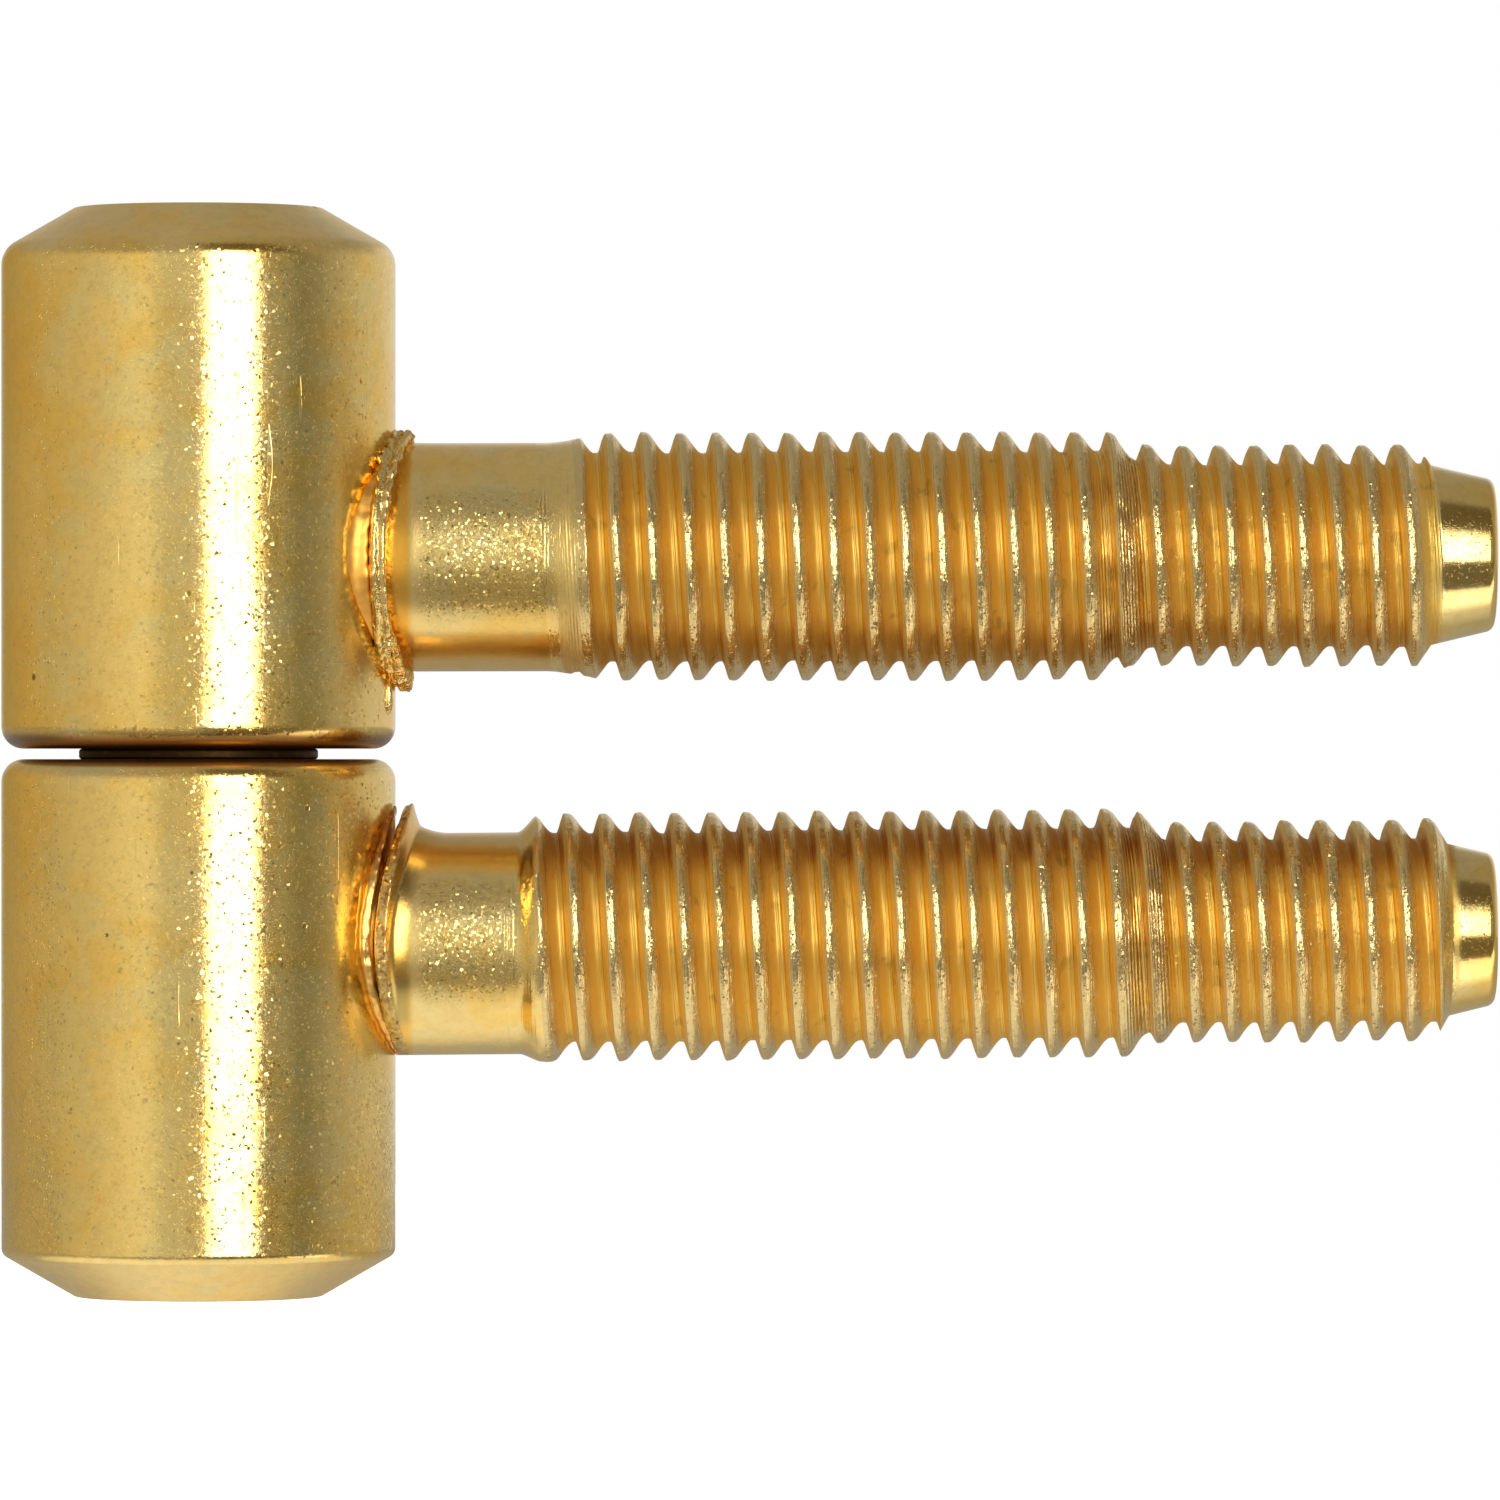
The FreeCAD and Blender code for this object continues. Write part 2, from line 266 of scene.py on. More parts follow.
class HingeStuds(bpy.types.PropertyGroup):
    """What the two threaded studs share."""

    pitch: length("Pitch", "One turn of the thread", 1.366)
    depth: length("Depth", "Crest to root, on the radius", 0.74)
    first_crest: length("First crest", "Diameter over the crests of the thick part", 9.44)
    second_crest: length("Second crest", "Diameter over the crests of the thin part", 8.42)
    step_taper: length("Step taper", "Length of the step between the two parts", 0.9)
    unevenness: length("Unevenness", "How far the rolled crests wander from a true helix", 0.11)
    tip_end: length("Tip end", "Diameter of the tip's flat end", 5.72)
    tip_round: length("Tip round", "Round at the end of the tip", 0.3)
    around: IntProperty(name="Segments", description="Segments round a stud", default=84, min=24)
    along: IntProperty(name="Rings", description="Rings along a stud", default=1150, min=100)


class HingeWeld(bpy.types.PropertyGroup):
    """The upset metal round the foot of each stud."""

    bead_width: length("Bead width", "Upper bead along the stud, at its narrowest", 0.66)
    bead_height: length("Bead height", "Upper bead's radial depth", 0.94)
    lump_size: length("Lump size", "Size of the grains in the bead", 0.36)
    rim_width: length("Rim width", "Thin rim of the lower weld along the stud", 0.24)
    drip_width: length("Drip width", "Drop of metal under the upper bead, across", 0.38)
    drip_height: length("Drip height", "Drop of metal under the upper bead, top to bottom", 1.24)


class HingeFinish(bpy.types.PropertyGroup):
    """Colours of the plating and of the bare metals, linear."""

    brass: colour("Brass", "Bright brass plating", 0.93, 0.675, 0.25)
    warm_brass: colour("Warm brass", "Warmer patches of the plating", 0.93, 0.60, 0.15)
    pale_brass: colour("Pale brass", "Thin greenish patches of the plating", 0.80, 0.69, 0.34)
    weld_brass: colour("Weld brass", "Plating on the upset weld metal", 0.93, 0.64, 0.24)
    # Olive also paints dark reflection and shade on the studs' necks and under their weld bands
    olive: colour("Olive", "Thin brownish film in small patches", 0.50, 0.37, 0.12)
    worn_crest: colour("Worn crest", "Thin greyish plating on the crests", 0.78, 0.58, 0.26)
    # Amber is also painted reflection in the thread's valleys and round the welds on the barrels
    amber: colour("Amber", "Thick yellow film in grooves and corners", 0.86, 0.555, 0.105)
    orange: colour("Orange", "Heat tint on the weld and the necks", 0.92, 0.44, 0.06)
    # Scorched also paints shade at the upper barrel's end and on the studs' sides that face each
    # other
    scorched: colour("Scorched", "Weld metal that the heat has browned", 0.42, 0.16, 0.03)
    # Pit also paints shade at the upper barrel's end that faces the gap
    pit: colour("Pit", "Dark pits where the plating has failed", 0.10, 0.055, 0.015)
    # The ring's very dark brown is painted shade of the narrow gap between the barrels
    ring: colour("Ring", "Browned bearing ring", 0.10, 0.055, 0.02)
    pin: colour("Pin", "Ground steel pin", 0.56, 0.55, 0.53)
    grain: share("Grain", "Strength of the fine grain in the plating", 0.6)


class HingeStudio(bpy.types.PropertyGroup):
    """Camera, floor and light."""

    camera_distance: length("Camera distance", "Lens to the hinge's middle plane", 436.0)
    camera_x: length("Camera X", "Lens along the studs", 21.01)
    camera_z: length("Camera Z", "Lens above the lower end", 20.80)
    view_angle: angle("View angle", "Width of the square view", 7.5)
    floor_drop: length("Floor drop", "Floor below the hinge's lower end", 30.0)
    key_distance: length("Key distance", "Soft box to the hinge", 500.0)
    key_turn: angle("Key turn", "Soft box to the right of the camera", 21.3)
    key_rise: angle("Key rise", "Soft box above the camera", 12.0)
    key_width: length("Key width", "Soft box, across", 236.0)
    key_height: length("Key height", "Soft box, top to bottom", 364.0)
    key_level: FloatProperty(name="Key level", description="How bright the soft box looks",
                             default=5.6, min=0.0)


SETTINGS = {
    "hinge_barrels": HingeBarrels,
    "hinge_studs": HingeStuds,
    "hinge_weld": HingeWeld,
    "hinge_finish": HingeFinish,
    "hinge_studio": HingeStudio,
}


# The hinge's own measures, from its frame


def height_of(node):
    """Lowest and highest Z of a node."""
    low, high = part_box(node)
    return low.z, high.z


def radius_of(node):
    """Radius of a round node that stands on the hinge axis."""
    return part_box(node)[1].x


def stud_axis(mount_name):
    """A stud's axis: its height on the hinge axis, its tilt, and where its thread starts."""
    mount = MOUNTS[mount_name]
    place, axis = Vector(mount["pos_m"]), Vector(mount["axis"])
    start = place.x / axis.x
    tilt = math.atan2(axis.z, axis.x)
    return place.z - start * axis.z, tilt, start


UPPER_Z, UPPER_TILT, UPPER_START = stud_axis("door_stud")
LOWER_Z, LOWER_TILT, LOWER_START = stud_axis("frame_stud")
BARREL_RADIUS = radius_of("upper_knuckle")
TIP_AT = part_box("upper_stud")[1].x


# Finishes

SCRATCH_STRETCH = 0.05
SCRATCH_EDGE = 0.02
GRAIN_DEPTH = 0.06


def opaque(tint):
    return (*tint, 1.0)


class Finish:
    """A metal finish in the making: its base colour, and the signals that each one starts from."""

    def __init__(self, name, tint):
        self.material = bpy.data.materials.new(name)
        self.material.use_nodes = True
        self.material.node_tree.nodes.clear()
        self.board = Board(self.material.node_tree)
        self.place = self.board.get("ShaderNodeTexCoord", "Object")
        self.x, self.y, self.z = self.board.parts(self.place)
        self.base = opaque(tint)

    def coat(self, cover, tint):
        """Lay a tint over the base colour, as strongly as its cover says."""
        self.base = self.board.mix(cover, self.base, opaque(tint))

    def cloud(self, size, detail, roughness=0.5):
        """Noise through the metal, of one size."""
        return self.board.noise(self.place, size, detail, roughness)

    def cells(self, size):
        """Cells of uneven shape: the distance to their seed, their random colour, their seed."""
        inputs = {"Vector": self.place, "Scale": 1 / size, "Randomness": 1.0}
        node = self.board.add("ShaderNodeTexVoronoi", {"feature": "F1"}, inputs)
        outputs = [node.outputs[name] for name in ("Distance", "Color", "Position")]
        return [Signal(self.board, output) for output in outputs]

    def spots(self, spacing, smallest, largest, amount):
        """A mask of sparse round spots of uneven size: 1 inside a spot."""
        distance, tint, _ = self.cells(spacing)
        chance, size, _ = self.board.parts(tint)
        radius = size.ramp(0.0, 1.0, smallest, largest)
        return (distance * spacing / radius).fade(0.55, 1.0) * (chance > 1 - amount)

    def facets(self, size, rarity=3):
        """A height that tilts small patches at random; a higher rarity leaves fewer steep ones."""
        _, tint, seed = self.cells(size)
        across, deep, high = self.board.parts(seed)
        one, two, three = self.board.parts(tint)
        tilt = ((self.x - across) * (one - 0.5) + (self.y - deep) * (two - 0.5)
                + (self.z - high) * (three - 0.5))
        chance = (one * 17.0 + two * 31.0).fraction()
        return tilt * chance ** rarity

    def scratches(self, turn, spacing, amount):
        """A mask of faint straight scratches that run one way."""
        mapping = {"Vector": self.place, "Rotation": turn, "Scale": (1.0, 1.0, SCRATCH_STRETCH)}
        stretched = self.board.get("ShaderNodeMapping", 0, {"vector_type": "POINT"}, mapping)
        edge = 1 - amount
        return self.board.noise(stretched, spacing, 1.0).smooth(edge, edge + SCRATCH_EDGE)

    def close(self, roughness, height):
        """The metal shader itself, with a height in metres as its bump."""
        bump = {"Strength": 1.0, "Distance": 1.0, "Height": height}
        normal = self.board.get("ShaderNodeBump", "Normal", None, bump)
        inputs = {"Base Color": self.base, "Roughness": roughness, "Metallic": 1.0,
                  "Normal": normal}
        shader = self.board.get("ShaderNodeBsdfPrincipled", "BSDF", None, inputs)
        self.board.add("ShaderNodeOutputMaterial", None, {"Surface": shader})
        return self.material


def plating(name, tints):
    """A finish of brass with warmer and paler clouds in it, as a thin plating has."""
    finish = Finish(name, tints.brass)
    finish.coat(finish.cloud(6.0 * MM, 4.0, 0.6).smooth(0.42, 0.60) * 0.85, tints.warm_brass)
    finish.coat(finish.cloud(2.9 * MM, 4.0, 0.6).smooth(0.46, 0.64) * 0.5, tints.pale_brass)
    finish.coat(finish.cloud(0.5 * MM, 4.0, 0.8).smooth(0.44, 0.62) * 0.17, tints.olive)
    return finish


def grain_height(finish, tints, size, steepness, rarity=3):
    """Fine sandy grain left by the tumbling before the plating."""
    fine = finish.cloud(size, 3.0, 0.8) * (GRAIN_DEPTH * size)
    return (fine + finish.facets(size, rarity) * steepness) * tints.grain


BARREL_GRAIN = 0.10 * MM
BARREL_GRAIN_RARITY = 5
TURNING_LINES = 0.09 * MM
TURNING_DEPTH = 0.0022 * MM
PIT_DEPTH = 0.02 * MM
SCRATCH_DEPTH = 0.006 * MM


def barrel_finish(name, tints, axis_height, dark_edge, pits):
    """Plating on a barrel: matt turned bevels and ends, fine grain, a few pits.

    Round the axis height it has a painted reflection of the stud's weld, below the dark edge it has
    painted shade from the gap between the barrels, and pits is the share of its cells with a pit.
    """
    finish = plating(name, tints)
    board = finish.board
    from_stud = (finish.y ** 2 + (finish.z - axis_height) ** 2).root()
    by_weld = from_stud.fade(4.4 * MM, 6.3 * MM) * (finish.x > 0.0)
    painted_gap_shade = (finish.z - dark_edge).fade(0.3 * MM, 0.72 * MM)
    radius = (finish.x ** 2 + finish.y ** 2).root()
    on_end = radius.fade(BARREL_RADIUS - 0.25 * MM, BARREL_RADIUS - 0.10 * MM)
    turning = board.noise(board.vector(radius, 0.0, finish.z), TURNING_LINES, 2.0)
    spots = finish.spots(1.5 * MM, 0.05 * MM, 0.15 * MM, pits)
    specks = finish.spots(0.9 * MM, 0.03 * MM, 0.07 * MM, 0.12)
    scratch = finish.scratches((0.3, 0.2, 0.4), 0.35 * MM, 0.27)
    # Painted reflection: warmer amber round the stud, where the barrel reflects the weld
    finish.coat(by_weld * 0.4, tints.amber)
    # Painted shade at the end that faces the gap between the barrels
    finish.coat(painted_gap_shade, tints.scorched)
    finish.coat(painted_gap_shade * 0.62, tints.pit)
    finish.coat(spots * 0.75, tints.pit)
    finish.coat(specks * 0.3, tints.pit)
    dull = finish.cloud(2.2 * MM, 3.0).ramp(0.35, 0.7, 0.145, 0.19)
    roughness = dull + on_end * 0.14 + spots * 0.3 + scratch * 0.05
    sandy = (1 - on_end.most(by_weld)) * 0.9 + 0.1
    grain = grain_height(finish, tints, BARREL_GRAIN, 0.60, BARREL_GRAIN_RARITY)
    height = (grain * sandy + on_end * turning * TURNING_DEPTH
              - spots * PIT_DEPTH - scratch * SCRATCH_DEPTH)
    return finish.close(roughness, height)


# One thread rule for the mesh and for its finish

ROOT_PHASE = 0.628
RIDGES = 11


def thread_place(along, around, start, pitch, clock):
    """Share of a pitch past the last crest, and the turns of thread since its start.

    Angles are in turns, from straight below, over the back and the top to the front.
    """
    behind = (around - clock).fraction()
    turns = (along - start) / pitch - behind + ROOT_PHASE
    whole = turns.floor()
    return turns - whole, whole + behind


def groove_share(phase):
    """How deep a rolled groove is, from 0 on its crest to 1 at its root."""
    return phase.window(0.055, 0.65, 0.73, 0.965)


def crown_path(up, side, top, bottom):
    """A measure that goes from side to top or bottom with the square of the height."""
    over = up.most(0.0) ** 2
    under = up.least(0.0) ** 2
    return over * (top - side) + under * (bottom - side) + side


STUD_GRAIN = 0.085 * MM
FLAKE_SIZE = 0.16 * MM
FLAKE_DEPTH = 0.045 * MM
RIDGE_DEPTH = 0.012 * MM
STREAK_DEPTH = 0.05 * MM
COLLAR_LINES = 0.10 * MM
COLLAR_DEPTH = 0.015 * MM
PEARL_SIZE = 0.17 * MM
LUMP_DEPTH = 0.03 * MM


def stud_finish(name, tints, stud, films_and_shade):
    """Plating on a stud: sandy shank, grey worn crests, smooth valleys with painted amber
    reflection, painted shade.
    """
    finish = plating(name, tints)
    board = finish.board
    tilt, band, neck_end, step_at, thread_end = (
        stud[label] for label in ("Tilt", "Band", "Neck End", "Step At", "Thread End"))

    # The surface in the stud's own measures
    rise = finish.z - stud["Axis Height"]
    along = finish.x * math.cos(tilt) + rise * math.sin(tilt)
    above = rise * math.cos(tilt) - finish.x * math.sin(tilt)
    around = finish.y.turns_of(above * -1.0)
    radius = (finish.y ** 2 + above ** 2).root()
    up = above / radius
    bend = up ** 2
    phase, turns = thread_place(along, around, stud["Thread Start"], stud["Pitch"], stud["Clock"])
    past_weld = along - crown_path(up, stud["Weld Side"], stud["Weld Top"], stud["Weld Bottom"])

    # Its uneven patterns
    flakes = board.noise(board.vector(along, around * (2.5 * MM), radius), FLAKE_SIZE, 3.0, 0.7)
    wavy = board.noise(board.vector(along, around * (1.2 * MM), 0.0), 0.5 * MM, 2.0)
    lumps = finish.cloud(0.26 * MM, 3.0, 0.7)
    fine = finish.cloud(0.11 * MM, 2.0, 0.7)
    stain = finish.cloud(0.9 * MM, 3.0).smooth(0.60, 0.72)

    # Masks of its parts
    threaded = turns.smooth(-0.6, 0.2) * along.fade(thread_end, thread_end + 0.4 * MM)
    step = along.smooth(step_at - stud["Step Taper"], step_at)
    crest_radius = step.ramp(0.0, 1.0, stud["First Crest"], stud["Second Crest"])
    torn_edge = (flakes - 0.5) * (0.20 * MM)
    crest = (radius - crest_radius + torn_edge).smooth(-0.46 * MM, -0.26 * MM) * threaded
    flank = phase.window(0.58, 0.66, 0.92, 0.98) * threaded
    on_step = along.window(step_at - 1.6 * MM, step_at - 0.9 * MM,
                           step_at + 0.1 * MM, step_at + 0.9 * MM)
    valley = groove_share(phase).smooth(0.25, 0.7) * threaded
    off_step = 1 - on_step * 0.6
    smooth_valley = valley * (1 - flank) * off_step
    neck = along.fade(neck_end - 0.35 * MM, neck_end) * films_and_shade["Amber Neck"]
    shank = turns.fade(-0.9, -0.4)
    collar = turns.window(-0.9, -0.6, -0.1, 0.1)
    sanded = (shank * bend.fade(0.12, 0.42)
              * along.smooth(neck_end + 0.1 * MM, neck_end + 0.5 * MM))
    on_band = past_weld.window(band * -1.1, band * -0.8, -0.05 * MM, 0.12 * MM)
    thin_part = step * threaded * lumps.smooth(0.46, 0.56)

    # Films over the brass, with painted reflection and painted shade among them, the lowest first
    # Amber in the valleys is painted reflection, for the light that bounces between the flanks
    finish.coat((valley * off_step).most(neck) * 0.8, tints.amber)
    finish.coat(neck * 0.6, tints.orange)
    finish.coat(sanded * 0.30, tints.olive)
    finish.coat(on_step * flakes.smooth(0.5, 0.62) * 0.5, tints.scorched)
    # Painted dark reflection on the neck, above and below its highlight
    finish.coat(bend.window(0.06, 0.16, 0.42, 0.62) * neck * films_and_shade["Neck Shade"], tints.olive)
    # Painted shade on the side that faces the other stud, in its valleys, neck and shank
    browned = (up * films_and_shade["Shaded Side"]).smooth(0.52, 0.85) * valley.most(neck).most(shank * 0.5)
    finish.coat(browned * films_and_shade["Side Shade"], tints.scorched)
    finish.coat(crest * 0.85, tints.worn_crest)
    finish.coat(on_band * 0.8, tints.weld_brass)
    finish.coat(on_band * lumps.smooth(0.46, 0.6) * 0.8, tints.scorched)
    # Painted shade on the lower side of the worn band
    finish.coat(on_band * (up * -1.0).smooth(0.0, 0.6) * 0.6, tints.olive)
    finish.coat(stain * valley * 0.25, tints.pit)

    # Its feel: sand, ridges on the flanks, flaked crests, fine lines at the collar, a lumpy band
    roughness = (0.10 + crest * 0.10 + smooth_valley * 0.42 + fine * 0.06 + flank * 0.32
                 + shank * (1 - sanded) * 0.12 + sanded * 0.11 + on_band * 0.08)
    sandy = sanded * 0.72 + crest * 0.8 + thin_part + 0.06
    sand = grain_height(finish, tints, STUD_GRAIN, 1.3) * sandy
    ridges = ((phase + wavy * 0.12) * (TURN * RIDGES)).sine() * flank.most(on_step * 1.6)
    lines = board.noise(board.vector(along, 0.0, 0.0), COLLAR_LINES, 1.0) * collar
    pearls = finish.facets(PEARL_SIZE) * on_band * 1.3
    height = (sand + ridges * RIDGE_DEPTH + crest * flakes * FLAKE_DEPTH
              + (wavy + flakes) * on_step * STREAK_DEPTH + lines * COLLAR_DEPTH
              + on_band * lumps * LUMP_DEPTH + pearls)
    return finish.close(roughness, height)


WRINKLE_DEPTH = 0.045 * MM


def weld_finish(name, tints, upper_brown=0.0, wrinkles=1.0):
    """Plating over once molten metal.

    Upper brown is how much browner its upper side is, and wrinkles how strongly its skin has shrunk
    in folds;
    smoother metal is more orange. Both go from 0 to 1.
    """
    finish = Finish(name, tints.weld_brass)
    smoothness = 1 - wrinkles
    patches = finish.cloud(0.8 * MM, 3.0)
    finish.coat(patches.smooth(0.40, 0.6) * wrinkles, tints.brass)
    finish.coat(smoothness * 0.9, tints.orange)
    # Browner on its upper side
    finish.coat((finish.z - LOWER_Z).smooth(2.0 * MM, 3.4 * MM) * upper_brown, tints.scorched)
    finish.coat(finish.spots(0.4 * MM, 0.02 * MM, 0.08 * MM, 0.3) * 0.5, tints.pit)
    roughness = patches.ramp(0.3, 0.7, 0.16, 0.30) + smoothness * 0.24
    folds = finish.cloud(0.22 * MM, 3.0, 0.6) * (wrinkles * WRINKLE_DEPTH)
    return finish.close(roughness, folds)


RING_LINES = 0.05 * MM
RING_LINE_DEPTH = 0.002 * MM


def ring_finish(name, tints):
    """Steel painted very dark brown as shade of the gap it sits in, with a little wear and fine
    lines round it.
    """
    finish = Finish(name, tints.ring)
    board = finish.board
    wear = finish.cloud(0.5 * MM, 3.0).smooth(0.55, 0.75)
    finish.coat(wear * 0.05, tints.warm_brass)
    lines = board.noise(board.vector(0.0, 0.0, finish.z), RING_LINES, 1.0)
    return finish.close(wear.ramp(0.0, 1.0, 0.55, 0.45), lines * RING_LINE_DEPTH)


STAINED_STEEL = (0.36, 0.33, 0.28)
PIN_LINES = 0.07 * MM
PIN_LINE_DEPTH = 0.0035 * MM
PIN_LINE_STRETCH = 0.04


def pin_finish(name, tints):
    """Ground and lightly oiled steel, with fine lines round the pin."""
    finish = Finish(name, tints.pin)
    board = finish.board
    drawn_out = board.vector(finish.x * PIN_LINE_STRETCH, finish.y * PIN_LINE_STRETCH, finish.z)
    lines = board.noise(drawn_out, PIN_LINES, 3.0)
    finish.coat(finish.cloud(2.5 * MM, 4.0).smooth(0.5, 0.75) * 0.35, STAINED_STEEL)
    return finish.close(lines.ramp(0.3, 0.7, 0.18, 0.32), lines * PIN_LINE_DEPTH)


# Turned pieces

ROUND_STEPS = 12
GUARD_SHARE = 0.12
ON_AXIS = 1e-9
SHARP_ANGLE = math.radians(25)
DRILL_HALF_ANGLE = math.radians(59)
PIN_ROUND = 0.15 * MM
RING_PLAY = 0.1 * MM
UPPER_PITS = 0.05
LOWER_PITS = 0.22
# No edge of the lower barrel is dark
BELOW_ALL = -1.0


def arc_corner(before, corner, after, radius):
    """Points of the round that replaces one corner of an outline.

    A guard point just outside each end of the round keeps the shading of the flats even.
    """
    if not radius:
        return [corner]
    to_before = (before - corner).normalized()
    to_after = (after - corner).normalized()
    half = to_before.angle(to_after) / 2
    reach = radius / math.tan(half)
    centre = corner + (to_before + to_after).normalized() * (radius / math.sin(half))
    first = corner + to_before * reach - centre
    last = corner + to_after * reach - centre
    sweep = first.angle_signed(last)
    guard = radius * GUARD_SHARE
    points = [centre + first + to_before * guard]
    for step in range(ROUND_STEPS + 1):
        points.append(centre + Matrix.Rotation(-sweep * step / ROUND_STEPS, 2) @ first)
    points.append(centre + last + to_after * guard)
    return points


def turned_outline(corners):
    """An outline of (radius, height, round) corners with its rounds drawn."""
    places = [Vector(corner[:2]) for corner in corners]
    points = [places[0]]
    for i in range(1, len(corners) - 1):
        points += arc_corner(places[i - 1], places[i], places[i + 1], corners[i][2])
    return points + [places[-1]]


def lathe(name, points, around, material, closed=False):
    """A closed mesh turned about the Z axis from an outline that runs anticlockwise.

    The outline starts and ends on the axis, or is a loop clear of it when closed.
    """
    shape = bmesh.new()
    rings = []
    for point in points:
        angles = [0.0] if point.x < ON_AXIS else [TURN * i / around for i in range(around)]
        rings.append([shape.verts.new((point.x * math.cos(a), point.x * math.sin(a), point.y))
                      for a in angles])
    pairs = list(zip(rings, rings[1:]))
    if closed:
        pairs.append((rings[-1], rings[0]))
    for lower, upper in pairs:
        for i in range(around):
            j = (i + 1) % around
            corners = [lower[i % len(lower)], lower[j % len(lower)],
                       upper[j % len(upper)], upper[i % len(upper)]]
            shape.faces.new(list(dict.fromkeys(corners)))
    bmesh.ops.recalc_face_normals(shape, faces=shape.faces)
    mesh = bpy.data.meshes.new(name)
    shape.to_mesh(mesh)
    shape.free()
    mesh.shade_smooth()
    mesh.set_sharp_from_angle(angle=SHARP_ANGLE)
    mesh.materials.append(material)
    piece = bpy.data.objects.new(name, mesh)
    bpy.context.scene.collection.objects.link(piece)
    return piece


def place_on_frame(piece, node, body):
    """Let a finished piece ride on its body, and stand for its node if it has one."""
    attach(piece, body)
    if node:
        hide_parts(node)


def barrel_outline(sizes, facing, outer, bore_radius, bore_end, bevel_round):
    """Outline of a barrel from the bore's point to the outer flat's middle.

    Facing and outer are the heights of its two ends.
    """
    way = 1 if outer > facing else -1
    end_radius = sizes.end_flat / 2
    bevel = (BARREL_RADIUS - end_radius) * math.tan(sizes.bevel_angle)
    drill_point = bore_radius / math.tan(DRILL_HALF_ANGLE)
    return turned_outline([
        (0.0, bore_end + way * drill_point, 0.0),
        (bore_radius, bore_end, 0.0),
        (bore_radius, facing + way * sizes.bore_mouth, 0.0),
        (bore_radius + sizes.bore_mouth, facing, 0.0),
        (BARREL_RADIUS, facing, sizes.facing_round),
        (BARREL_RADIUS, outer - way * bevel, bevel_round),
        (end_radius, outer, sizes.end_round),
        (0.0, outer, 0.0),
    ])


class HINGE_OT_barrels(bpy.types.Operator):
    """Turn the two barrels, with their bores, bevels and rounded facing ends"""

    bl_idname = "hinge.barrels"
    bl_label = "Barrels"

    def execute(self, context):
        sizes = context.scene.hinge_barrels
        tints = context.scene.hinge_finish
        pin_low, pin_high = height_of("hinge_pin")
        pin_radius = radius_of("hinge_pin")
        low, high = height_of("upper_knuckle")
        outline = barrel_outline(sizes, low, high, pin_radius + sizes.running_clearance,
                                 pin_high + sizes.bore_space, sizes.upper_bevel_round)
        finish = barrel_finish("upper_barrel_plating", tints, UPPER_Z, low, UPPER_PITS)
        upper = lathe("upper_barrel", outline, sizes.around, finish)
        place_on_frame(upper, "upper_knuckle", "door_half")
        low, high = height_of("lower_knuckle")
        outline = barrel_outline(sizes, high, low, pin_radius, pin_low, sizes.lower_bevel_round)
        finish = barrel_finish("lower_barrel_plating", tints, LOWER_Z, BELOW_ALL, LOWER_PITS)
        lower = lathe("lower_barrel", outline, sizes.around, finish)
        place_on_frame(lower, "lower_knuckle", "frame_half")
        return {"FINISHED"}


class HINGE_OT_pin_and_ring(bpy.types.Operator):
    """Turn the pin and the bearing ring between the barrels"""

    bl_idname = "hinge.pin_and_ring"
    bl_label = "Pin and ring"

    def execute(self, context):
        sizes = context.scene.hinge_barrels
        tints = context.scene.hinge_finish
        low, high = height_of("hinge_pin")
        radius = radius_of("hinge_pin")
        outline = turned_outline([
            (0.0, low, 0.0),
            (radius, low, 0.0),
            (radius, high - sizes.pin_bevel, PIN_ROUND),
            (radius - sizes.pin_bevel, high, PIN_ROUND),
            (0.0, high, 0.0),
        ])
        pin = lathe("pin", outline, sizes.around, pin_finish("ground_pin", tints))
        place_on_frame(pin, "hinge_pin", "frame_half")
        low, high = height_of("bearing_ring")
        inner, outer = radius + RING_PLAY, radius_of("bearing_ring")
        outline = turned_outline([
            (inner, low, 0.0),
            (outer, low, sizes.ring_round),
            (outer, high, sizes.ring_round),
            (inner, high, 0.0),
        ])
        finish = ring_finish("shaded_ring", tints)
        ring = lathe("ring", outline, sizes.around, finish, closed=True)
        place_on_frame(ring, "bearing_ring", "bearing_ring")
        return {"FINISHED"}


# Pieces that a geometry rule makes


def mm(*sizes):
    """Sizes in millimetres as metres."""
    return [size * MM for size in sizes]


def rule_tree(name, labels):
    """A geometry tree with a named input for each label, its board and its input signals."""
    tree = bpy.data.node_groups.new(name, "GeometryNodeTree")
    for label in labels:
        kind = "NodeSocketInt" if label in ("Around", "Rings") else "NodeSocketFloat"
        tree.interface.new_socket(label, in_out="INPUT", socket_type=kind)
    tree.interface.new_socket("Finish", in_out="INPUT", socket_type="NodeSocketMaterial")
    tree.interface.new_socket("Geometry", in_out="OUTPUT", socket_type="NodeSocketGeometry")
    board = Board(tree)
    source = board.add("NodeGroupInput")
    signals = {label: Signal(board, source.outputs[label]) for label in [*labels, "Finish"]}
    return tree, board, signals


def tube(board, around, rings):
    """A closed tube of unit size.

    Its mesh, the mask of its side, its angle in turns and its height from 0 to 1.
    """
    inputs = {"Vertices": around, "Side Segments": rings, "Radius": 1.0, "Depth": 1.0}
    blank = board.add("GeometryNodeMeshCylinder", {"fill_type": "NGON"}, inputs)
    mesh, side = (Signal(board, blank.outputs[name]) for name in ("Mesh", "Side"))
    across, deep, height = board.parts(board.get("GeometryNodeInputPosition", 0))
    return mesh, side, deep.turns_of(across), height + 0.5


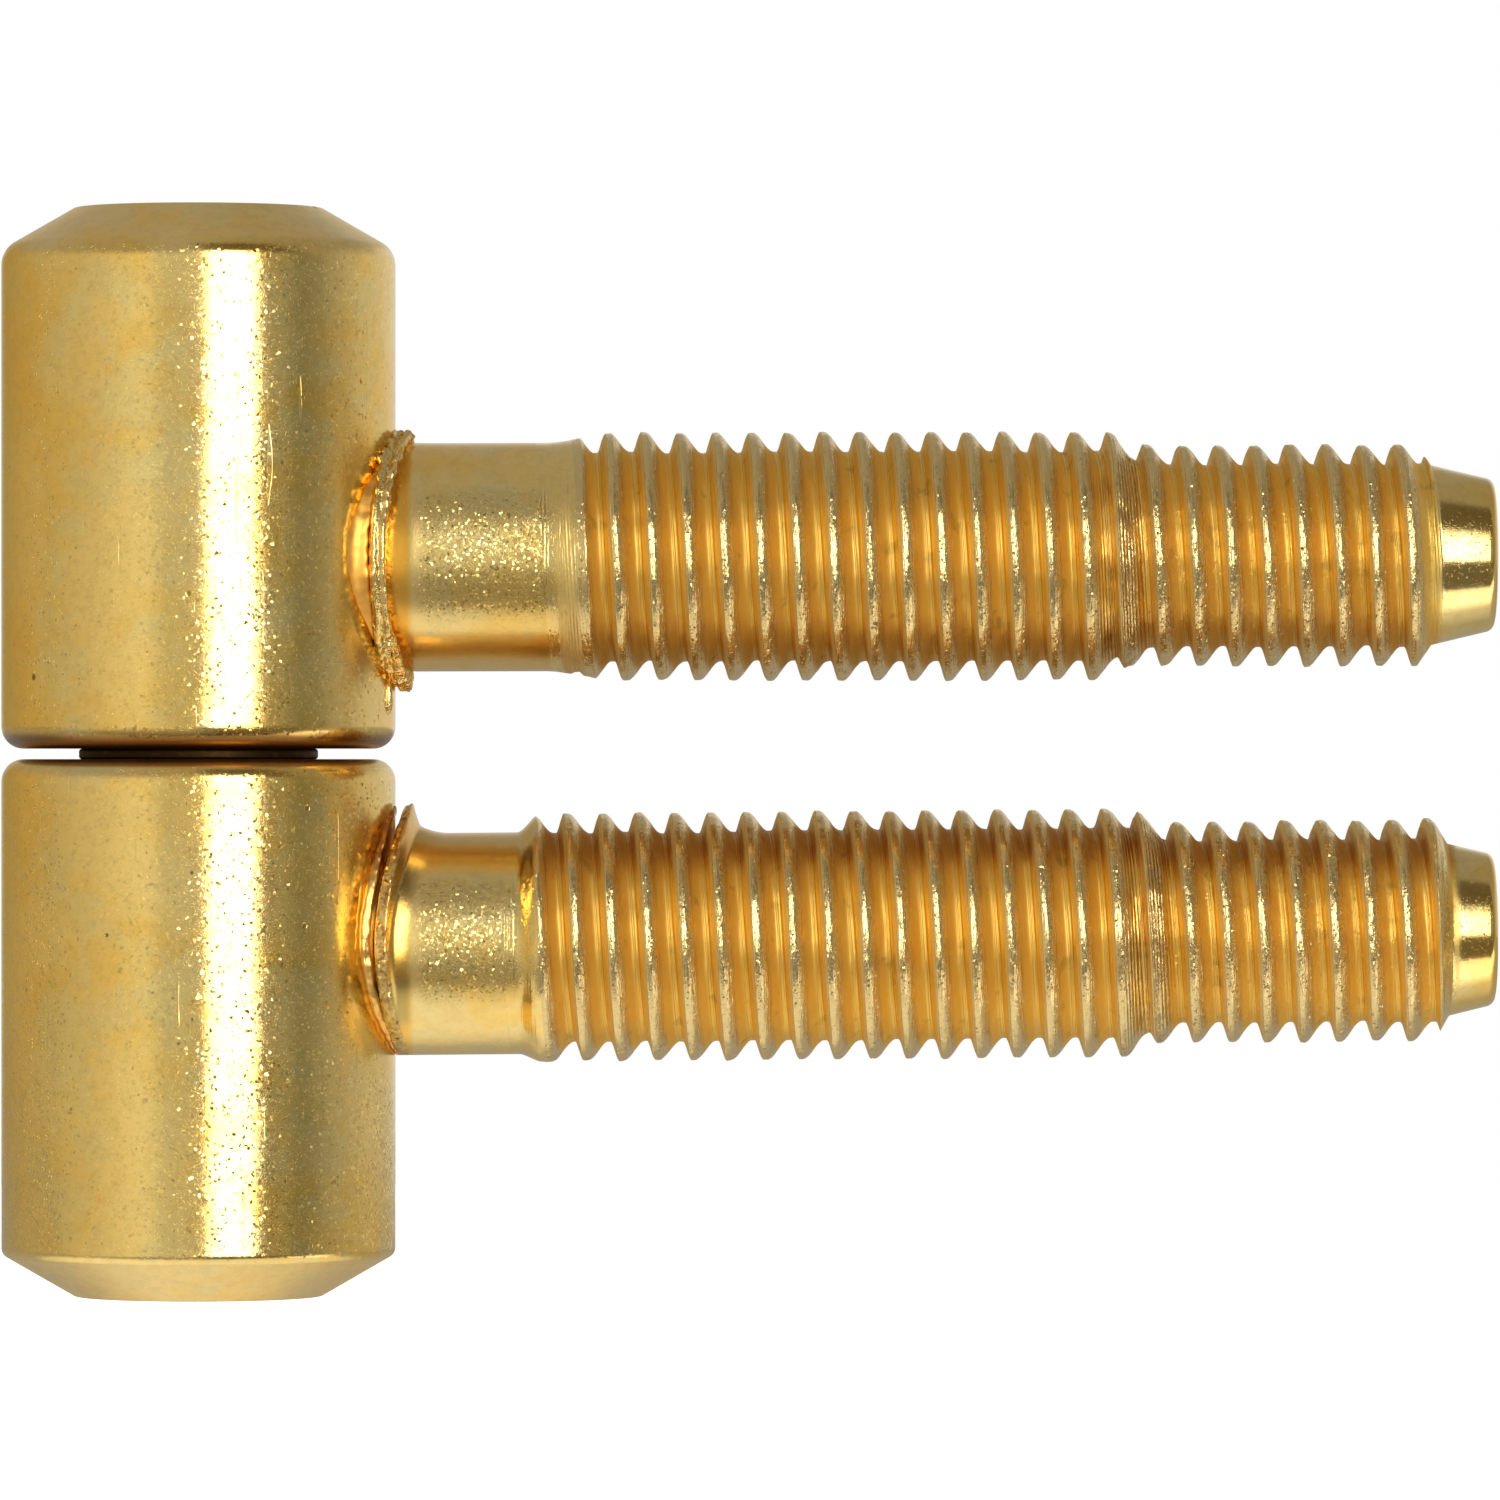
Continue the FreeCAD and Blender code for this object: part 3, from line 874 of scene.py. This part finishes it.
def end_rule(board, signals, mesh, side, moved):
    """Close a rule: the moved mesh, smooth along its side, on the stud's axis, with its finish."""
    shaped = board.get("GeometryNodeSetPosition", 0, None, {"Geometry": mesh, "Position": moved})
    smooth = board.get("GeometryNodeSetShadeSmooth", 0, {"domain": "FACE"},
                       {"Geometry": shaped, "Selection": side})
    aligned = board.get("GeometryNodeTransform", 0, None, {
        "Geometry": smooth,
        "Translation": board.vector(0.0, 0.0, signals["Axis Height"]),
        "Rotation": board.vector(0.0, signals["Tilt"] * -1.0, 0.0),
    })
    real = board.get("GeometryNodeRealizeInstances", 0, None, {"Geometry": aligned})
    done = board.get("GeometryNodeSetMaterial", 0, None,
                     {"Geometry": real, "Material": signals["Finish"]})
    board.add("NodeGroupOutput", None, {"Geometry": done})


def piece_by_rule(tree, name, values):
    """The plain mesh that a tree makes from the values of its named inputs."""
    piece = bpy.data.objects.new(name, bpy.data.meshes.new(name))
    bpy.context.scene.collection.objects.link(piece)
    modifier = piece.modifiers.new("Rule", "NODES")
    modifier.node_group = tree
    for socket in tree.interface.items_tree:
        if socket.in_out == "INPUT":
            modifier[socket.identifier] = values[socket.name]
    depsgraph = bpy.context.evaluated_depsgraph_get()
    mesh = bpy.data.meshes.new_from_object(piece.evaluated_get(depsgraph))
    piece.modifiers.remove(modifier)
    piece.data = mesh
    mesh.name = name
    return piece


# What is each stud's own, the upper one's first. Lengths are in millimetres, from the hinge axis
# along the stud or out from the stud's axis. Weld is where the upset metal ends at the stud's
# sides, top and bottom, band the worn width beside that edge, and fin and flare how far the metal
# stands out there, sharply and in a curve. The neck may be thinner than the shank, and lower.
# The blank rises from the shank to the crests, and steps down once before the thread's end.
OWN_LENGTHS = {
    "Weld Side": (7.05, 7.27),
    "Weld Top": (7.75, 8.22),
    "Weld Bottom": (7.65, 8.0),
    "Band": (0.2, 0.42),
    "Fin Side": (0.0, 0.15),
    "Fin Top": (0.0, 0.75),
    "Flare Side": (0.0, 0.19),
    "Flare Top": (0.03, 0.42),
    "Flare Reach": (1.4, 0.9),
    "Neck Dip": (0.22, 0.0),
    "Neck End": (8.3, 8.3),
    "Neck Drop": (0.0, 0.2),
    "Shank Radius": (4.35, 4.225),
    "Rise Start": (13.2, 12.15),
    "Rise End": (16.0, 13.1),
    "Step At": (35.5, 36.4),
    "Thread End": (46.95, 47.6),
    "Tip Root": (3.43, 3.28),
}
# Run in and full from are in turns from the thread's start, and the clock angle in turns
OWN_VALUES = {
    "Axis Height": (UPPER_Z, LOWER_Z),
    "Tilt": (UPPER_TILT, LOWER_TILT),
    "Thread Start": (UPPER_START, LOWER_START),
    "Clock": (0.0, 135 / 360),
    "Run In": (-0.3, -0.15),
    "Full From": (0.35, 0.12),
}
# Strengths of the films and of the painted shade; the shaded side is 1 above the stud and -1 below
# it, the side that faces the other stud
OWN_FILMS_AND_SHADE = {
    "Amber Neck": (1.2, 0.8),
    "Neck Shade": (0.0, 1.1),
    "Shaded Side": (-1.0, 1.0),
    "Side Shade": (0.3, 0.6),
}
SHARED_LABELS = [
    "Around", "Rings", "Foot At", "Foot Radius", "Pitch", "Depth", "First Crest", "Second Crest",
    "Step Taper", "Tip End", "Tip At", "Tip Round", "Unevenness",
]
UPPER, LOWER = 0, 1


def column(table, which, unit=1.0):
    """What a table of pairs gives for one of the two studs."""
    return {label: pair[which] * unit for label, pair in table.items()}


def own_values(which):
    """The inputs of the stud's rule that one of the two studs has for itself."""
    return {**column(OWN_LENGTHS, which, MM), **column(OWN_VALUES, which)}


def shared_values(sizes):
    """The inputs of the stud's rule that are the same in both studs."""
    return {
        "Around": sizes.around,
        "Rings": sizes.along,
        "Foot At": 5.9 * MM,
        "Foot Radius": 3.7 * MM,
        "Pitch": sizes.pitch,
        "Depth": sizes.depth,
        "First Crest": sizes.first_crest / 2,
        "Second Crest": sizes.second_crest / 2,
        "Step Taper": sizes.step_taper,
        "Tip End": sizes.tip_end / 2,
        "Tip At": TIP_AT,
        "Tip Round": sizes.tip_round,
        "Unevenness": sizes.unevenness,
    }


# Shares of a stud's rings that its foot, and its foot and neck together, take
FOOT_SHARE = 0.03
NECK_SHARE = 0.10
# The uneven patterns are read at one radius, so that they hold from the root to the crest
PATTERN_RADIUS = 4.5 * MM
WANDER_SIZE = 2.4 * MM
RAGGED_SIZE = 0.7 * MM
GRIT_SIZE = 0.24 * MM
FIN_REACH = 0.3 * MM
TOP_FLARE_REACH = 1.4 * MM
BAND_INNER_SHARE = 0.72
DIP_START = 7.0 * MM
TIP_RUN_OUT = 0.55 * MM
# Farther out than any surface that it is added to may reach
CLEAR = 2.0 * MM


def stud_tree():
    """The rule of a stud: welded foot, neck, plain shank, two-step rolled thread and tip."""
    tree, board, s = rule_tree("stud_rule", [*SHARED_LABELS, *OWN_LENGTHS, *OWN_VALUES])
    mesh, side, turn, share_along = tube(board, s["Around"], s["Rings"])
    sine, cosine = (turn * TURN).sine(), (turn * TURN).cosine()
    up = cosine * -1.0

    # The rings' places along the axis: slanted with the weld at the foot, then square to the axis
    weld = crown_path(up, s["Weld Side"], s["Weld Top"], s["Weld Bottom"])
    foot_part = share_along.ramp(0.0, FOOT_SHARE)
    neck_part = share_along.ramp(FOOT_SHARE, NECK_SHARE)
    thread_part = share_along.ramp(NECK_SHARE, 1.0)
    along = (s["Foot At"] + (weld - s["Foot At"]) * foot_part
             + (s["Rise Start"] - weld) * neck_part
             + (s["Tip At"] - s["Rise Start"]) * thread_part)
    past_weld = along - weld
    place = board.vector(along, cosine * PATTERN_RADIUS, sine * PATTERN_RADIUS)

    # The thread, whose crests wander and are torn near the step between its two parts
    wander = board.noise(place, WANDER_SIZE, 3.0, 0.6) - 0.5
    phase, turns = thread_place(along + wander * s["Unevenness"], turn, s["Thread Start"],
                                s["Pitch"], s["Clock"])
    groove = groove_share(phase) * turns.ramp(s["Run In"], s["Full From"], kind="SMOOTHSTEP")
    step = along.smooth(s["Step At"] - s["Step Taper"], s["Step At"])
    near_step = step * along.fade(s["Step At"] - 0.1 * MM, s["Step At"] + 0.6 * MM)
    ragged = board.noise(place, RAGGED_SIZE, 2.0) - 0.5
    crest = s["First Crest"] + (s["Second Crest"] - s["First Crest"]) * step
    rough_crest = (crest + wander * (s["Unevenness"] * 2.4)
                   + ragged * (near_step * (0.40 * MM) + 0.16 * MM))
    threaded = rough_crest - groove * (1 - near_step * 0.3) * s["Depth"]

    # The shank and neck, with the fin and flare that the weld pushed up round them
    fin_share = (1 - past_weld.ramp(0.0, FIN_REACH)) ** 1.5
    fin = crown_path(up, s["Fin Side"], s["Fin Top"], 0.0) * fin_share
    reach = crown_path(up, s["Flare Reach"], TOP_FLARE_REACH, s["Flare Reach"])
    flare_share = (1 - past_weld.ramp(0.0, reach)) ** 2
    flare = crown_path(up, s["Flare Side"], s["Flare Top"], 0.0) * flare_share
    slant = past_weld.ramp(s["Band"] * -1.0, 0.0, BAND_INNER_SHARE, 1.0)
    on_band = past_weld.window(s["Band"] * -1.0, s["Band"] * -0.6, 0.0, 0.2 * MM)
    grit = (board.noise(place, GRIT_SIZE, 3.0, 0.6) - 0.5) * on_band * (fin + flare) * 0.5
    dip = along.fade(DIP_START, s["Neck End"]) * s["Neck Dip"]
    shank = s["Shank Radius"] + (fin + flare) * slant + grit - dip
    blank = shank + (rough_crest - shank) * along.smooth(s["Rise Start"], s["Rise End"])
    foot = s["Foot Radius"] + past_weld.ramp(s["Band"] * -1.1, s["Band"] * -0.9) * CLEAR
    body = foot.least(blank)

    # The plain tapered tip and its rounded end
    tip_line = along.ramp(s["Thread End"], s["Tip At"], s["Tip Root"], s["Tip End"])
    ending = along.ramp(s["Thread End"] - TIP_RUN_OUT, s["Thread End"])
    tapered = body + (tip_line - body) * ending
    nose = (along - s["Tip At"] + s["Tip Round"]).most(0.0).least(s["Tip Round"])
    nose_drop = s["Tip Round"] - (s["Tip Round"] ** 2 - nose ** 2).most(0.0).root()

    # The groove is cut only past the neck, and never into the tip
    off_neck = (1 - along.ramp(s["Rise Start"] - 1.0 * MM, s["Rise Start"])) * CLEAR
    radius = tapered.least(threaded.most(tip_line * ending) + off_neck) - nose_drop
    drop = along.fade(s["Rise Start"], s["Rise End"]) * s["Neck Drop"]
    moved = board.vector(along, radius * sine, radius * up - drop)
    end_rule(board, s, mesh, side, moved)
    return tree


class HINGE_OT_studs(bpy.types.Operator):
    """Roll the two studs with their two-step threads"""

    bl_idname = "hinge.studs"
    bl_label = "Studs"

    def execute(self, context):
        scene = context.scene
        tree = stud_tree()
        for which, name, node, body in (
            (UPPER, "upper_screw", "upper_stud", "door_half"),
            (LOWER, "lower_screw", "lower_stud", "frame_half"),
        ):
            values = {**shared_values(scene.hinge_studs), **own_values(which)}
            films_and_shade = column(OWN_FILMS_AND_SHADE, which)
            values["Finish"] = stud_finish(name + "_plating", scene.hinge_finish, values, films_and_shade)
            piece = piece_by_rule(tree, name, values)
            place_on_frame(piece, node, body)
        return {"FINISHED"}


BEAD_LABELS = [
    "Around", "Rings", "Axis Height", "Tilt", "From", "Sweep", "Side At", "Top At", "Bottom At",
    "Side Radius", "Top Radius", "Bottom Radius", "Side Width", "Top Width", "Bottom Width",
    "Height", "Lean", "Slope", "Hollow", "Seam", "Lump", "Lump Size", "Taper",
]
FINE_GRAINS = 3.1
SMOOTH_LUMP = 0.14


def bead_tree():
    """The rule of a weld bead: a closed or open roll of metal that follows the stud's foot."""
    tree, board, s = rule_tree("bead_rule", BEAD_LABELS)
    mesh, side, section_turn, share_along = tube(board, s["Around"], s["Rings"])

    # Its path round the stud, in turns from the top over the back
    turn = (s["From"] + s["Sweep"] * share_along) * TURN
    up, back = turn.cosine(), turn.sine()
    path = crown_path(up, s["Side At"], s["Top At"], s["Bottom At"])
    ring = crown_path(up, s["Side Radius"], s["Top Radius"], s["Bottom Radius"])
    width = crown_path(up, s["Side Width"], s["Top Width"], s["Bottom Width"])

    # Its section, a rounded square that swells and shrinks with the grains
    section = section_turn * TURN
    sine, cosine = section.sine(), section.cosine()
    place = board.vector(path + sine * width, back * ring, up * ring + cosine * width)
    grains = board.noise(place, s["Lump Size"], 0.0) - 0.5
    fine = board.noise(place, s["Lump Size"] / FINE_GRAINS, 1.0) - 0.5
    lumpy = (up ** 2).smooth(0.10, 0.6) * s["Lump"] + SMOOTH_LUMP
    ends = ((share_along * math.pi).sine() ** 0.45 - 1) * s["Taper"] + 1
    swell = ((grains * 1.7 + fine * 0.8) * lumpy + 1) * ends
    square = (cosine ** 4 + sine ** 4) ** -0.25
    beside = sine * square * width * swell

    # Its outer face may slope, be hollow and have a winding seam along its middle
    off_seam = (beside / width + grains * 0.9) ** 2
    seam = off_seam.fade(0.0, 0.16) * cosine.most(0.0) * s["Seam"]
    sunk = beside ** 2 * s["Hollow"] - beside * s["Slope"] - seam
    out = cosine * square * s["Height"] * swell + sunk
    moved = board.vector(path + beside + out * s["Lean"], back * (ring + out), up * (ring + out))
    end_rule(board, s, mesh, side, moved)
    return tree


def bead_values(weld, which, at, radius, width, **own):
    """All inputs of a bead's rule: those of its stud, and what is the bead's own.

    At, radius and width each have a value for the bead's sides, its top and its bottom.
    """
    stud = own_values(which)
    values = {
        "Around": 28,
        "Rings": 260,
        "Axis Height": stud["Axis Height"],
        "Tilt": stud["Tilt"],
        "From": 0.25,
        "Sweep": 1.0,
        "Lean": 0.0,
        "Slope": 0.0,
        "Hollow": 0.0,
        "Seam": 0.0,
        "Lump": 0.0,
        "Lump Size": weld.lump_size,
        "Taper": 0.0,
    }
    for measure, three in (("At", at), ("Radius", radius), ("Width", width)):
        for where, value in zip(("Side", "Top", "Bottom"), three):
            values[where + " " + measure] = value
    return {**values, **own}


DRIP_AT = Vector((7.28, -1.75, 22.75)) * MM
DRIP_STEPS = 16
DRIP_SEGMENTS = 32


class HINGE_OT_weld(bpy.types.Operator):
    """Lay the upset weld metal round the foot of each stud"""

    bl_idname = "hinge.weld"
    bl_label = "Weld flash"

    def execute(self, context):
        weld = context.scene.hinge_weld
        tints = context.scene.hinge_finish
        grainy = weld_finish("weld_plating", tints)
        smooth = weld_finish("smooth_weld", tints, wrinkles=0.1)
        browned = weld_finish("browned_weld", tints, upper_brown=0.9, wrinkles=0.5)
        tree = bead_tree()
        width, rim_width = weld.bead_width / 2, weld.rim_width
        upper = bead_values(
            weld, UPPER, at=mm(6.93, 7.64, 7.33), radius=mm(4.27, 4.38, 4.42),
            width=(width, 1.3 * width, width), Height=weld.bead_height / 2, Lean=0.15,
            Slope=0.12, Seam=0.13 * MM, Lump=0.6, Finish=grainy)
        fillet = bead_values(
            weld, UPPER, at=mm(6.08, 7.25, 7.1), radius=mm(4.27, 4.2, 4.2),
            width=mm(0.53, 0.3, 0.3), Height=0.30 * MM, Slope=0.4, Hollow=0.9 / MM, Finish=smooth)
        strand = bead_values(
            weld, UPPER, at=mm(7.1, 7.9, 7.84), radius=mm(4.25, 4.5, 4.64),
            width=mm(0.2, 0.26, 0.26), From=0.35, Sweep=0.30, Height=0.42 * MM, Lean=0.1,
            Lump=0.6, Taper=1.0, Finish=grainy)
        rim = bead_values(
            weld, LOWER, at=mm(6.37, 7.36, 7.45), radius=mm(3.80, 4.65, 3.95),
            width=(rim_width, rim_width / 2, rim_width / 2), Height=0.43 * MM, Lean=0.35,
            Slope=0.2, Hollow=0.4 / MM, Lump=0.12, Finish=browned)
        for name, values, body in (
            ("upper_bead", upper, "door_half"),
            ("upper_fillet", fillet, "door_half"),
            ("upper_strand", strand, "door_half"),
            ("lower_rim", rim, "frame_half"),
        ):
            place_on_frame(piece_by_rule(tree, name, values), None, body)
        place_on_frame(self.drip(weld, grainy), None, "door_half")
        return {"FINISHED"}

    def drip(self, weld, finish):
        """The drop of metal that hangs under the upper bead."""
        half_height, half_width = weld.drip_height / 2, weld.drip_width / 2
        angles = [math.pi * i / DRIP_STEPS - math.pi / 2 for i in range(DRIP_STEPS + 1)]
        outline = [Vector((half_width * math.cos(a), half_height * math.sin(a))) for a in angles]
        outline[0].x = outline[-1].x = 0.0
        drip = lathe("weld_drip", outline, DRIP_SEGMENTS, finish)
        drip.data.transform(Matrix.Translation(DRIP_AT))
        return drip


# Studio


def turn_share(degrees):
    """An angle to the right of the camera as its place on the world's ramp."""
    return degrees / 360 + 0.5


# The light all round the hinge, each colour at its degrees to the right of the camera
SURROUNDINGS = [
    (-180, (0.80, 0.78, 0.74)),
    (-156, (0.38, 0.30, 0.10)),
    (-118, (0.53, 0.43, 0.22)),
    (-85, (0.58, 0.53, 0.38)),
    (-59, (0.68, 0.62, 0.47)),
    (-43, (0.80, 0.75, 0.58)),
    (-28, (0.90, 0.87, 0.72)),
    (-15, (0.56, 0.57, 0.52)),
    (-3, (0.60, 0.61, 0.56)),
    (6, (0.25, 0.23, 0.18)),
    (40, (0.25, 0.23, 0.18)),
    (52, (0.36, 0.36, 0.30)),
    (64, (0.20, 0.21, 0.18)),
    (78, (0.28, 0.28, 0.25)),
    (93, (0.43, 0.42, 0.38)),
    (116, (0.64, 0.62, 0.55)),
    (152, (0.76, 0.73, 0.64)),
    (180, (0.80, 0.78, 0.74)),
]
CEILING = (0.40, 0.39, 0.37, 1.0)
DIM_CEILING = (0.32, 0.31, 0.29, 1.0)
DARK_BOARDS = (0.13, 0.11, 0.08, 1.0)
NEAR_GROUND = (0.36, 0.35, 0.32, 1.0)
WHITE = (1.0, 1.0, 1.0, 1.0)


def world_light(scene):
    """Soft surroundings with darker boards beside the soft box, white to the camera."""
    world = bpy.data.worlds.new("studio")
    world.use_nodes = True
    world.node_tree.nodes.clear()
    scene.world = world
    board = Board(world.node_tree)
    x, y, z = board.parts(board.get("ShaderNodeTexCoord", "Generated"))
    bearing = x.turns_of(y * -1.0) + 0.5
    stops = [(turn_share(degrees), tint) for degrees, tint in SURROUNDINGS]
    level = board.get("ShaderNodeValToRGB", "Color", {"stops": stops}, {0: bearing})
    ceiling = board.mix(x.smooth(-0.1, 0.4), CEILING, DIM_CEILING)
    lifted = board.mix(z.smooth(0.17, 0.62), level, ceiling)
    depth = z * -1.0
    seen = board.mix(depth.smooth(0.12, 0.45), lifted, NEAR_GROUND)
    beside = bearing.window(*(turn_share(degrees) for degrees in (2, 9, 58, 76)))
    over = z.window(0.3, 0.5, 0.86, 0.96)
    under = depth.window(0.05, 0.2, 0.8, 0.95) * 0.85
    seen = board.mix(beside * (over + under), seen, DARK_BOARDS)
    path = board.add("ShaderNodeLightPath")
    camera = Signal(board, path.outputs["Is Camera Ray"])
    light = board.get("ShaderNodeBackground", 0, None, {"Color": board.mix(camera, seen, WHITE)})
    board.add("ShaderNodeOutputWorld", None, {"Surface": light})


FLOOR_TINT = (0.86, 0.86, 0.85, 1.0)
FLOOR_ROUGHNESS = 0.6
FLOOR_FILL = 0.5
GLOW_LEVEL = 0.58
CARD_LEVEL = 1.1


def floor_finish():
    """Plain pale floor: white to the camera where the lamps reach it, darker in the shadow.

    Only the hinge sees the long soft glow under it, and the bright card past its tips on the
    camera's side.
    """
    material = bpy.data.materials.new("pale_floor")
    material.use_nodes = True
    material.node_tree.nodes.clear()
    board = Board(material.node_tree)
    path = board.add("ShaderNodeLightPath")
    looked_at = Signal(board, path.outputs["Is Camera Ray"])
    x, y, _ = board.parts(board.get("ShaderNodeTexCoord", "Object"))
    away = ((y + 8 * MM) ** 2 + (x * 0.4) ** 2).root()
    card = x.window(52 * MM, 66 * MM, 150 * MM, 180 * MM) * y.fade(-20 * MM, 0.0)
    glow = away.fade(12 * MM, 48 * MM) * GLOW_LEVEL + card * CARD_LEVEL
    fill = y.smooth(150 * MM, 320 * MM).ramp(0.0, 1.0, FLOOR_FILL, 1.0)
    level = glow * (1 - looked_at) + fill * looked_at
    inputs = {
        "Base Color": FLOOR_TINT,
        "Roughness": FLOOR_ROUGHNESS,
        "Emission Strength": 1.0,
        "Emission Color": board.vector(level, level, level),
    }
    shader = board.get("ShaderNodeBsdfPrincipled", "BSDF", None, inputs)
    board.add("ShaderNodeOutputMaterial", None, {"Surface": shader})
    return material


CLIP_START = 10 * MM
FLOOR_NEAR = -46 * MM
FLOOR_FAR = 900 * MM
FLOOR_HALF = 700 * MM
KEY_AIM_X = 8 * MM


class HINGE_OT_studio(bpy.types.Operator):
    """Set the camera, the pale floor, the soft box and the surroundings"""

    bl_idname = "hinge.studio"
    bl_label = "Studio"

    def execute(self, context):
        scene = context.scene
        studio = scene.hinge_studio
        self.add_camera(scene, studio)
        self.add_floor(studio)
        self.add_key(scene, studio)
        world_light(scene)
        scene.view_settings.view_transform = "Standard"
        return {"FINISHED"}

    def add_camera(self, scene, studio):
        camera = bpy.data.objects.new("camera", bpy.data.cameras.new("camera"))
        camera.location = (studio.camera_x, -studio.camera_distance, studio.camera_z)
        camera.rotation_euler = (math.pi / 2, 0.0, 0.0)
        camera.data.angle = studio.view_angle
        camera.data.clip_start = CLIP_START
        scene.collection.objects.link(camera)
        scene.camera = camera

    def add_floor(self, studio):
        mesh = bpy.data.meshes.new("floor")
        corners = [(-FLOOR_HALF, FLOOR_NEAR), (FLOOR_HALF, FLOOR_NEAR),
                   (FLOOR_HALF, FLOOR_FAR), (-FLOOR_HALF, FLOOR_FAR)]
        mesh.from_pydata([(x, y, -studio.floor_drop) for x, y in corners], [], [(0, 1, 2, 3)])
        mesh.materials.append(floor_finish())
        floor = bpy.data.objects.new("floor", mesh)
        bpy.context.scene.collection.objects.link(floor)

    def add_key(self, scene, studio):
        lamp = bpy.data.lights.new("soft_box", "AREA")
        lamp.shape = "RECTANGLE"
        lamp.size = studio.key_width
        lamp.size_y = studio.key_height
        lamp.energy = studio.key_level * math.pi * studio.key_width * studio.key_height
        key = bpy.data.objects.new("soft_box", lamp)
        aim = Vector((KEY_AIM_X, 0.0, studio.camera_z))
        way = Vector((math.sin(studio.key_turn), -math.cos(studio.key_turn),
                      math.tan(studio.key_rise)))
        key.location = aim + way.normalized() * studio.key_distance
        key.rotation_euler = way.to_track_quat("Z", "Y").to_euler()
        scene.collection.objects.link(key)


OPERATORS = (
    HINGE_OT_studio,
    HINGE_OT_barrels,
    HINGE_OT_pin_and_ring,
    HINGE_OT_studs,
    HINGE_OT_weld,
)


class VIEW3D_PT_hinge(bpy.types.Panel):
    """Sidebar panel with the hinge's pieces and settings"""

    bl_label = "Drill In Hinge"
    bl_idname = "VIEW3D_PT_hinge"
    bl_space_type = "VIEW_3D"
    bl_region_type = "UI"
    bl_category = "Hinge"

    def draw(self, context):
        for operator in OPERATORS:
            self.layout.operator(operator.bl_idname)
        for name, group in SETTINGS.items():
            box = self.layout.box()
            box.label(text=group.__doc__)
            settings = getattr(context.scene, name)
            for prop in group.__annotations__:
                box.prop(settings, prop)


def register():
    for group in SETTINGS.values():
        bpy.utils.register_class(group)
    for name, group in SETTINGS.items():
        setattr(bpy.types.Scene, name, PointerProperty(type=group))
    for operator in OPERATORS:
        bpy.utils.register_class(operator)
    bpy.utils.register_class(VIEW3D_PT_hinge)


def unregister():
    bpy.utils.unregister_class(VIEW3D_PT_hinge)
    for operator in reversed(OPERATORS):
        bpy.utils.unregister_class(operator)
    for name in SETTINGS:
        delattr(bpy.types.Scene, name)
    for group in reversed(SETTINGS.values()):
        bpy.utils.unregister_class(group)


def main():
    register()
    bpy.ops.hinge.studio()
    bpy.ops.hinge.barrels()
    bpy.ops.hinge.pin_and_ring()
    bpy.ops.hinge.studs()
    bpy.ops.hinge.weld()


if __name__ == "__main__":
    main()
